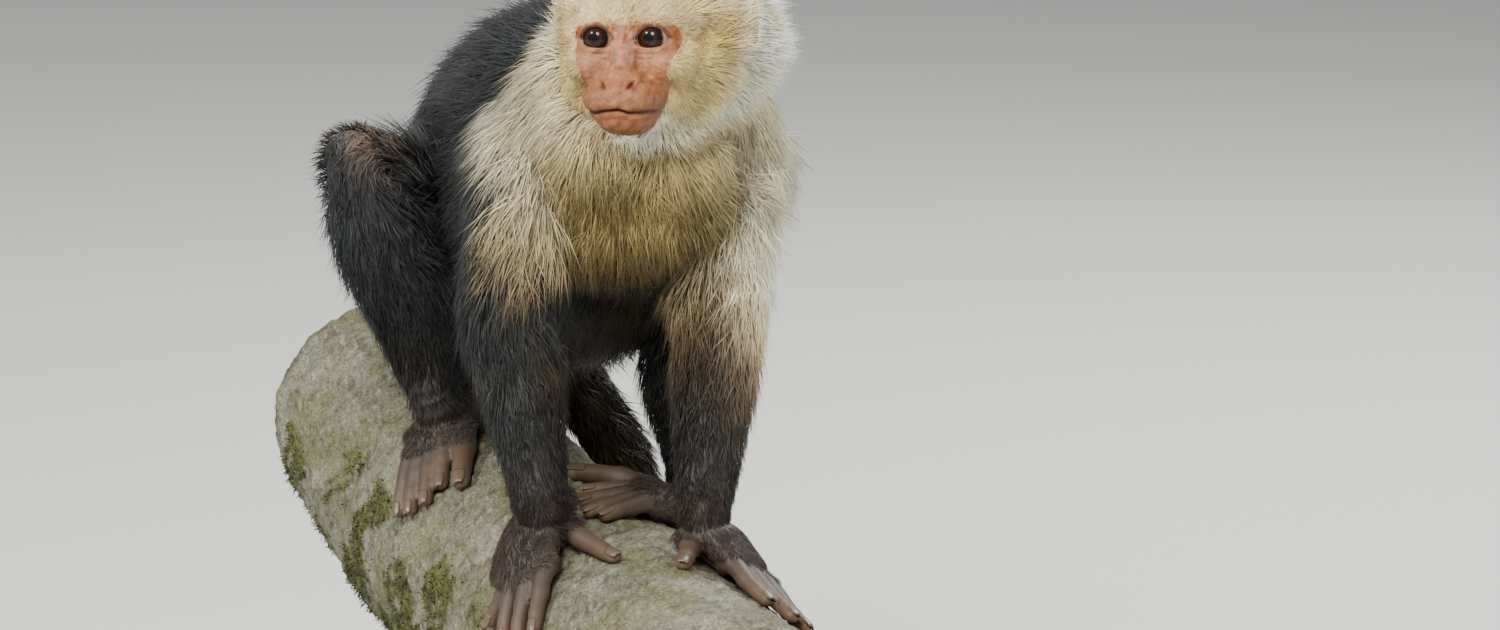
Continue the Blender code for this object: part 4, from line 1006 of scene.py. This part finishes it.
# ---- the nails --------------------------------------------------------------------------------
# Thin curved plates of brown horn on the tip of each digit, each a closed shell of two skins.
NAIL_STEPS = 9
quads = grid_faces(NAIL_STEPS, NAIL_STEPS, wrap=False)
count = NAIL_STEPS * NAIL_STEPS
rim = np.arange(count).reshape(NAIL_STEPS, NAIL_STEPS)
edge = np.concatenate([rim[0], rim[1:, -1], rim[-1, -2::-1], rim[-2:0:-1, 0]])
after = np.roll(edge, -1)
walls = np.stack([edge, after, after + count, edge + count], 1)
nail_quads = np.concatenate([quads, quads[:, ::-1] + count, walls[:, ::-1]])
ll, aa = np.meshgrid(np.linspace(-1.0, 1.25, NAIL_STEPS),
                     np.radians(np.linspace(-58, 58, NAIL_STEPS)), indexing="ij")
narrow = 1 - (np.maximum(ll, 0) / 1.45) ** 2 * 0.6 - (np.minimum(ll, 0) / 1.1) ** 4 * 0.5
narrow = np.sqrt(np.clip(narrow, 0.05, 1))
nail_points, nail_faces = [], []
for tip, along, out, size in NAILS:
    side = unit(np.cross(along, out))
    top = np.cross(side, along)
    for lift in (0.38, -0.25):
        radius = size * 0.97 + lift - 0.18 * size * np.maximum(ll - 0.2, 0) ** 2
        nail_points.append((tip + (ll * size * 0.95)[..., None] * along
                            + (radius * np.sin(aa * narrow))[..., None] * side
                            + (radius * np.cos(aa * narrow))[..., None] * top).reshape(-1, 3))
    base = 2 * count * len(nail_faces)
    nail_faces.append(facing_out(np.concatenate(nail_points[-2:]), halved(nail_quads)) + base)
nails = mesh_piece("nails", np.concatenate(nail_points), np.concatenate(nail_faces))
nails.data.materials.append(new_material("horn", painted=False, Roughness=0.35,
                                         Base_Color=(0.10, 0.070, 0.045, 1.0))[0])
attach(nails, "root")

# ---- the coat ---------------------------------------------------------------------------------
# Soft hair in fine overlapping locks, each a curved three-sided taper rooted in the hide. They lie
# along the guides, rise to the coat's depth and take the markings, with painted shade at their roots
# and a little paler at their tips.
# Round the face they fan outwards, short at its edge and longer towards the cheeks and nape.
def from_ear(q, ear):
    """How far head points are from this place beside either ear, in millimetres."""
    return np.linalg.norm(np.abs(q) * (1, 0, 0) + q * (0, 1, 1) - ear, axis=1)


corner = skin_points[skin_triangles]
face_cross = np.cross(corner[:, 1] - corner[:, 0], corner[:, 2] - corner[:, 0])
area = np.linalg.norm(face_cross, axis=1) / 2
middle = corner.mean(1)
middle_found = read_guides(middle, unit(face_cross))
middle_head = to_head(middle)
is_head = middle_found["kind"] == HEAD_KIND
thin = np.where(middle_found["kind"] == BARE_KIND, smoothstep(0.06, 0.6, middle_found["depth"]), 1.0)
hairy = thin > 0.02
face_gap = out_of_face(middle_head)
in_face = is_head & (face_gap < FIRST_HAIRS) & (middle_head[:, 1] < 14) & (middle[:, 2] > 360)
ear_bare = is_head & (from_ear(middle_head, (40, 55, 6)) < 9.5)
hairy &= ~in_face & ~ear_bare
kinds = {name: middle_found["kind"] == k for k, name in enumerate(KINDS)}
back_half = middle[:, 1] > 62
by_face = (face_gap < 22) & (middle_head[:, 1] < 34)
by_paw = (middle[:, 2] < 245) & (kinds["arms"] | kinds["legs"] | kinds["bare"])
# Each coat's name, faces of the skin, number of locks, their width in millimetres, and their droop.
COATS = (
    ("coat_face", is_head & by_face, 15500, 0.56, 0.0),
    ("coat_head_left", is_head & ~by_face & (middle_head[:, 0] >= 0), 14500, 0.62, 0.0),
    ("coat_head_right", is_head & ~by_face & (middle_head[:, 0] < 0), 14500, 0.62, 0.0),
    ("coat_mantle", kinds["mantle"] | (kinds["trunk"] & (middle[:, 1] < -8)), 19900, 0.72, 0.3),
    ("coat_arms", kinds["arms"] | kinds["bare"], 19900, 0.66, 0.25),
    ("coat_back", kinds["trunk"] & (middle[:, 1] >= -8) & ~back_half, 15500, 0.98, 0.3),
    ("coat_rump", kinds["trunk"] & back_half, 15500, 0.98, 0.3),
    ("coat_legs", kinds["legs"], 19900, 0.80, 0.3),
    ("coat_tail", kinds["tail"], 13500, 0.72, 0.15),
)
# A lock's two rings of three points and its tip: how far along each is, and its share of the width.
LOCK_RINGS = ((0.0, 0.85), (0.5, 0.92), (1.0, 0.0))
LOCK_POINTS = 7
lock_faces = []
for s in range(3):
    after = (s + 1) % 3
    lock_faces += [(s, after, after + 3), (s, after + 3, s + 3), (s + 3, after + 3, 6)]
lock_faces = np.array(lock_faces + [(0, 2, 1)])
hair = new_material("hair", Roughness=0.46, Specular_IOR_Level=0.28, Sheen_Weight=0.04,
                    Sheen_Roughness=0.4)[0]


def head_hair(q, gap):
    """Direction, length and depth of the hair at head points this far out of the bare face.

    It fans out from the face, short at its edge and longer to the nape; it lies flat on the crown,
    turns down at the chin and stands up beside the ear."""
    low = smoothstep(-8, -34, q[:, 2]) * smoothstep(-18, 2, q[:, 1]) * smoothstep(-3.5, 0.0, gap)
    chin = smoothstep(-38, -45, q[:, 2]) * smoothstep(16, 4, q[:, 1])
    crown = smoothstep(14, 30, q[:, 2])
    fan = q - FACE_FRONT - chin[:, None] * (0, 22, 30)
    fan[:, 1] += 0.35 * np.linalg.norm(fan[:, [0, 2]], axis=1)
    fan[:, 2] -= 0.55 * np.maximum(-q[:, 2], 0) \
        + smoothstep(30, 60, q[:, 1]) * between(38, 8, smoothstep(8, 26, q[:, 2]))
    edge = smoothstep(FIRST_HAIRS, 1.0, gap)
    length = between(between(between(2.2, 6.0, edge), 17.0, smoothstep(0, 12, gap)), 22.0,
                     smoothstep(42, 78, q[:, 1]))
    depth = between(between(between(0.3, 1.4, edge), 6.0, smoothstep(0, 17, gap)), 9.5,
                    smoothstep(38, 74, q[:, 1])) + 1.0 * low + 1.5 * chin
    length = between(length, 9.5, np.maximum(0.75 * low, chin))
    length, depth = between(length, 13.0, crown), between(depth, 5.0, crown)
    beside_ear = smoothstep(20, 8, from_ear(q, (40, 38, 6)))
    return unit(fan) @ HEAD_TURN.T, length + 1.0 * beside_ear, depth + 3.0 * beside_ear


# The coats' own UV map for baking: one cell of an 8-wide table for each guide, run along by the
# place on the guide and across by the angle round it.
guide_cell = np.concatenate([np.full(len(part), k) for k, part in enumerate(guides["u"])])
guide_rows = math.ceil(len(guides["u"]) / 8)


def baking_spots(root, nearest):
    """One small patch of the map for each lock, with a place in it for each of its points."""
    flow, out = GUIDE["flow"][nearest], GUIDE["out"][nearest]
    radial, cell = root - GUIDE["place"][nearest], guide_cell[nearest]
    around = np.arctan2((radial * out).sum(1), (radial * np.cross(flow, out)).sum(1))
    around = around / (2 * math.pi) + 0.5
    u = 0.004 + (cell % 8 + 0.03 + 0.94 * GUIDE["u"][nearest]) / 8.0 * 0.985
    v = 0.004 + (cell // 8 + 0.03 + 0.94 * around) / guide_rows * 0.985
    local = np.array([(0, 0), (1, 0), (0.5, 0.2), (0, 0.6), (1, 0.6), (0.5, 0.7), (0.5, 1.0)]) * 0.003
    return (np.stack([u, v], 1)[:, None] + local[None]).reshape(-1, 2)


def scattered(rng, where, count):
    """Roots and their normals, spread evenly over the chosen faces and denser by face and paws."""
    chosen = np.flatnonzero(where & hairy)
    fringe = smoothstep(14, 2, face_gap[chosen]) * (middle_head[chosen, 1] < 20)
    dense = area[chosen] * np.where(is_head[chosen], 1.0 + 1.6 * fringe, 1.0)
    dense *= (1.0 + 2.5 * by_paw[chosen]) * thin[chosen]
    total = np.cumsum(dense)
    at = (np.arange(count) + rng.random(count)) / count * total[-1]
    pick = chosen[np.searchsorted(total, at)]
    u, v = rng.random(count), rng.random(count)
    flip = u + v > 1
    u[flip], v[flip] = 1 - u[flip], 1 - v[flip]
    tri = skin_triangles[pick]
    mix = np.stack([1 - u - v, u, v], 1)[..., None]
    return (skin_points[tri] * mix).sum(1), unit((skin_normals[tri] * mix).sum(1))


def lock_points(root, flow, normal, length, depth, wide, lean, droop):
    """The points of each lock: its spine runs with the flow, rises as 1 - (1 - t) to the 1.8 and sags."""
    side = np.cross(normal, flow)
    turn = (np.arange(3) * 2 * math.pi / 3 + math.pi / 2)[None, :, None]
    rings = []
    for at, narrow in LOCK_RINGS:
        rise = depth * (1 - (1 - at) ** 1.8) - 0.5 * (at == 0)
        along = length * at
        spine = root + along[:, None] * flow + rise[:, None] * normal \
            + (lean * along * at)[:, None] * side \
            - np.array([0, 0, 1.0]) * (droop * 0.16 * along * at)[:, None]
        spine = spine[:, None]
        if narrow:
            spine = spine + 0.5 * narrow * wide[:, None, None] * (
                np.cos(turn) * side[:, None] + 0.55 * np.sin(turn) * normal[:, None])
        rings.append(spine)
    return np.concatenate(rings, 1).reshape(-1, 3)


def grow(name, where, count, width, droop, seed):
    """One joined mesh of locks on the chosen faces of the skin."""
    rng = np.random.default_rng(seed)
    root, normal = scattered(rng, where, count)
    found = read_guides(root, normal)
    tone = markings(root, found)
    q = to_head(root)
    on_head = found["kind"] == HEAD_KIND
    fan, head_length, head_depth = head_hair(q, out_of_face(q))
    flow = np.where(on_head[:, None], fan, unit(found["flow"]))
    length = np.where(on_head, head_length, found["length"])
    depth = np.where(on_head, head_depth, found["depth"])
    clump = np.stack([waves(root, 16.0, 71 + k, 2) for k in range(3)], 1)
    tuft = np.stack([waves(root, 5.0, 81 + k, 2) for k in range(3)], 1)
    flow = unit(flow + 0.18 * clump + 0.16 * tuft + 0.12 * rng.normal(size=flow.shape))
    flow = unit(flow - (flow * normal).sum(1, keepdims=True) * normal)
    length = length * rng.uniform(0.75, 1.12, count) * (1 + 0.08 * clump[:, 0])
    depth = depth * rng.uniform(0.55, 1.15, count)
    stray = rng.random(count) < 0.12
    depth = np.where(stray, depth * 1.5, depth)
    wide = width * rng.uniform(0.7, 1.25, count) * np.clip(length / 13.0, 0.6, 1.0) \
        * np.where(stray, 0.6, 1.0)
    lean = rng.normal(size=count) * 0.06
    points = lock_points(root, flow, normal, length, depth, wide, lean, droop)
    faces = (lock_faces[None] + (np.arange(count) * LOCK_POINTS)[:, None, None]).reshape(-1, 3)
    faces = facing_out(points, faces)
    piece = mesh_piece(name, points, faces)

    dark = smoothstep(0.12, 0.03, tone.mean(1))[:, None]
    shade = tone * (1 + (0.18 + 0.18 * dark) * rng.uniform(-1.2, 1.0, (count, 1))) \
        * (1 + 0.12 * clump[:, 1:2] + 0.10 * tuft[:, :1])
    shade = shade * (1 + rng.normal(size=(count, 1)) * np.array([[0.03, 0.0, -0.04]]))
    pale = smoothstep(0.12, 0.5, tone.mean(1))[:, None]
    # Each lock is painted darker at its roots, a painted shade deep in the coat that pale hair has less
    # of, and paler at its tip.
    dim, lift = (np.repeat(values, (3, 3, 1)) for values in ((0.76, 1.0, 1.18), (0.16, 0.05, 0.0)))
    ramp = dim + lift * pale
    paint_tone(piece, np.clip(shade[:, None] * ramp[:, :, None], 0.002, 0.93).reshape(-1, 3))
    spots = baking_spots(root, found["nearest"].astype(int))
    bake = piece.data.uv_layers.new(name="OFBake")
    bake.data.foreach_set("uv", spots[faces.ravel()].astype(np.float32).ravel())
    piece.data.materials.append(hair)
    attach(piece, "root")


for number, (name, where, count, width, droop) in enumerate(COATS):
    grow(name, where, count, width, droop, 100 + number)

# ---- the stand --------------------------------------------------------------------------------
# A flat board in black satin lacquer with two bright steel rods that hold the limb. They keep the
# frame's own meshes and take a finer finish.
lacquer, nodes, links, shader = new_material("lacquer", painted=False,
                                             Base_Color=(0.012, 0.012, 0.013, 1.0))
dust = texture_node(nodes, links, "Noise", Scale=90.0, Detail=5.0)
gloss = nodes.new("ShaderNodeMapRange")
set_sockets(gloss, To_Min=0.28, To_Max=0.42)
links.new(dust.outputs["Fac"], gloss.inputs["Value"])
links.new(gloss.outputs["Result"], shader.inputs["Roughness"])
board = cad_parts["stand_base"]
board.data.materials.clear()
board.data.materials.append(lacquer)

steel, nodes, links, shader = new_material("steel", painted=False, Metallic=1.0, Roughness=0.3,
                                           Base_Color=(0.56, 0.56, 0.55, 1.0))
brushed = texture_node(nodes, links, "Noise", Scale=700.0)
bump_node(nodes, links, brushed.outputs["Fac"], 0.2, 0.00008, shader.inputs["Normal"])
for name in ("stand_rod_front", "stand_rod_rear"):
    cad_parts[name].data.materials.clear()
    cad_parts[name].data.materials.append(steel)

# ---- floor, light and camera ------------------------------------------------------------------
# A plain pale floor that curves up behind. A broad warm key light stands high before the animal's
# right side and a smaller one beside it like a window; a weak fill and a rim light are on its left.
FLOOR_HALF, FLOOR_STEPS, FLOOR_ACROSS = 6.0, 49, 5
floor_line = curve_through([(-FLOOR_HALF, 0.0), (6.0, 0.0), (6.8, 0.05), (7.5, 0.3), (7.9, 0.8),
                            (8.0, 1.6), (8.0, 6.0)], FLOOR_STEPS)
floor_y, floor_x = np.meshgrid(floor_line[:, 0], np.linspace(-FLOOR_HALF, FLOOR_HALF, FLOOR_ACROSS),
                               indexing="ij")
floor_z = np.broadcast_to(np.maximum(floor_line[:, 1], 0.0)[:, None], floor_x.shape)
floor_points = np.stack([floor_x, floor_y, floor_z], -1).reshape(-1, 3) * 1000.0
floor = mesh_piece("floor", floor_points - np.array([0, 0, 0.4]),
                   grid_faces(FLOOR_STEPS, FLOOR_ACROSS, wrap=False))
floor.data.materials.append(new_material("pale paper", painted=False, Roughness=0.9,
                                         Base_Color=(0.62, 0.63, 0.62, 1.0))[0])


def area_light(name, place, target, size, power, colour):
    """A round lamp, size metres across and power watts strong, turned to its target."""
    light = bpy.data.lights.new(name, "AREA")
    light.shape, light.size, light.energy, light.color = "DISK", size, power, colour
    lamp = bpy.data.objects.new(name, light)
    bpy.context.scene.collection.objects.link(lamp)
    lamp.location = place
    lamp.rotation_euler = (Vector(target) - Vector(place)).to_track_quat("-Z", "Y").to_euler()


area_light("key", (-1.3, -2.0, 2.2), (0, 0, 0.3), 1.1, 118, (1.0, 0.965, 0.91))
area_light("window", (-2.05, -0.15, 1.85), (0, -0.08, 0.42), 0.5, 60, (1.0, 0.98, 0.95))
area_light("fill", (1.7, -2.1, 1.5), (0, 0, 0.3), 1.6, 32, (1.0, 0.98, 0.96))
area_light("rim", (1.5, 1.0, 1.9), (0, 0, 0.35), 1.0, 60, (1.0, 0.985, 0.96))
world = bpy.data.worlds.new("sky")
world.use_nodes = True
set_sockets(world.node_tree.nodes["Background"], Color=(0.86, 0.86, 0.85, 1.0), Strength=0.5)
bpy.context.scene.world = world

# The camera looks a little down at the animal's right front from this many metres off; the second
# number is how many metres it sees from side to side there.
CAMERA_DISTANCE, SEEN_WIDTH, SENSOR = 3.0, 7.5 / 11.0, 36.0
lens = bpy.data.cameras.new("camera")
lens.sensor_width, lens.lens = SENSOR, SENSOR * CAMERA_DISTANCE / SEEN_WIDTH
lens.clip_start, lens.clip_end = 0.05, 50.0
camera = bpy.data.objects.new("camera", lens)
bpy.context.scene.collection.objects.link(camera)
turned, raised = math.radians(-23.0), math.radians(10.0)
forward = Vector((-math.sin(turned) * math.cos(raised), math.cos(turned) * math.cos(raised),
                  -math.sin(raised)))
target = Vector((0.0610, -0.0825, 0.3112))
camera.location = target - forward * CAMERA_DISTANCE
camera.rotation_euler = forward.to_track_quat("-Z", "Y").to_euler()
bpy.context.scene.camera = camera
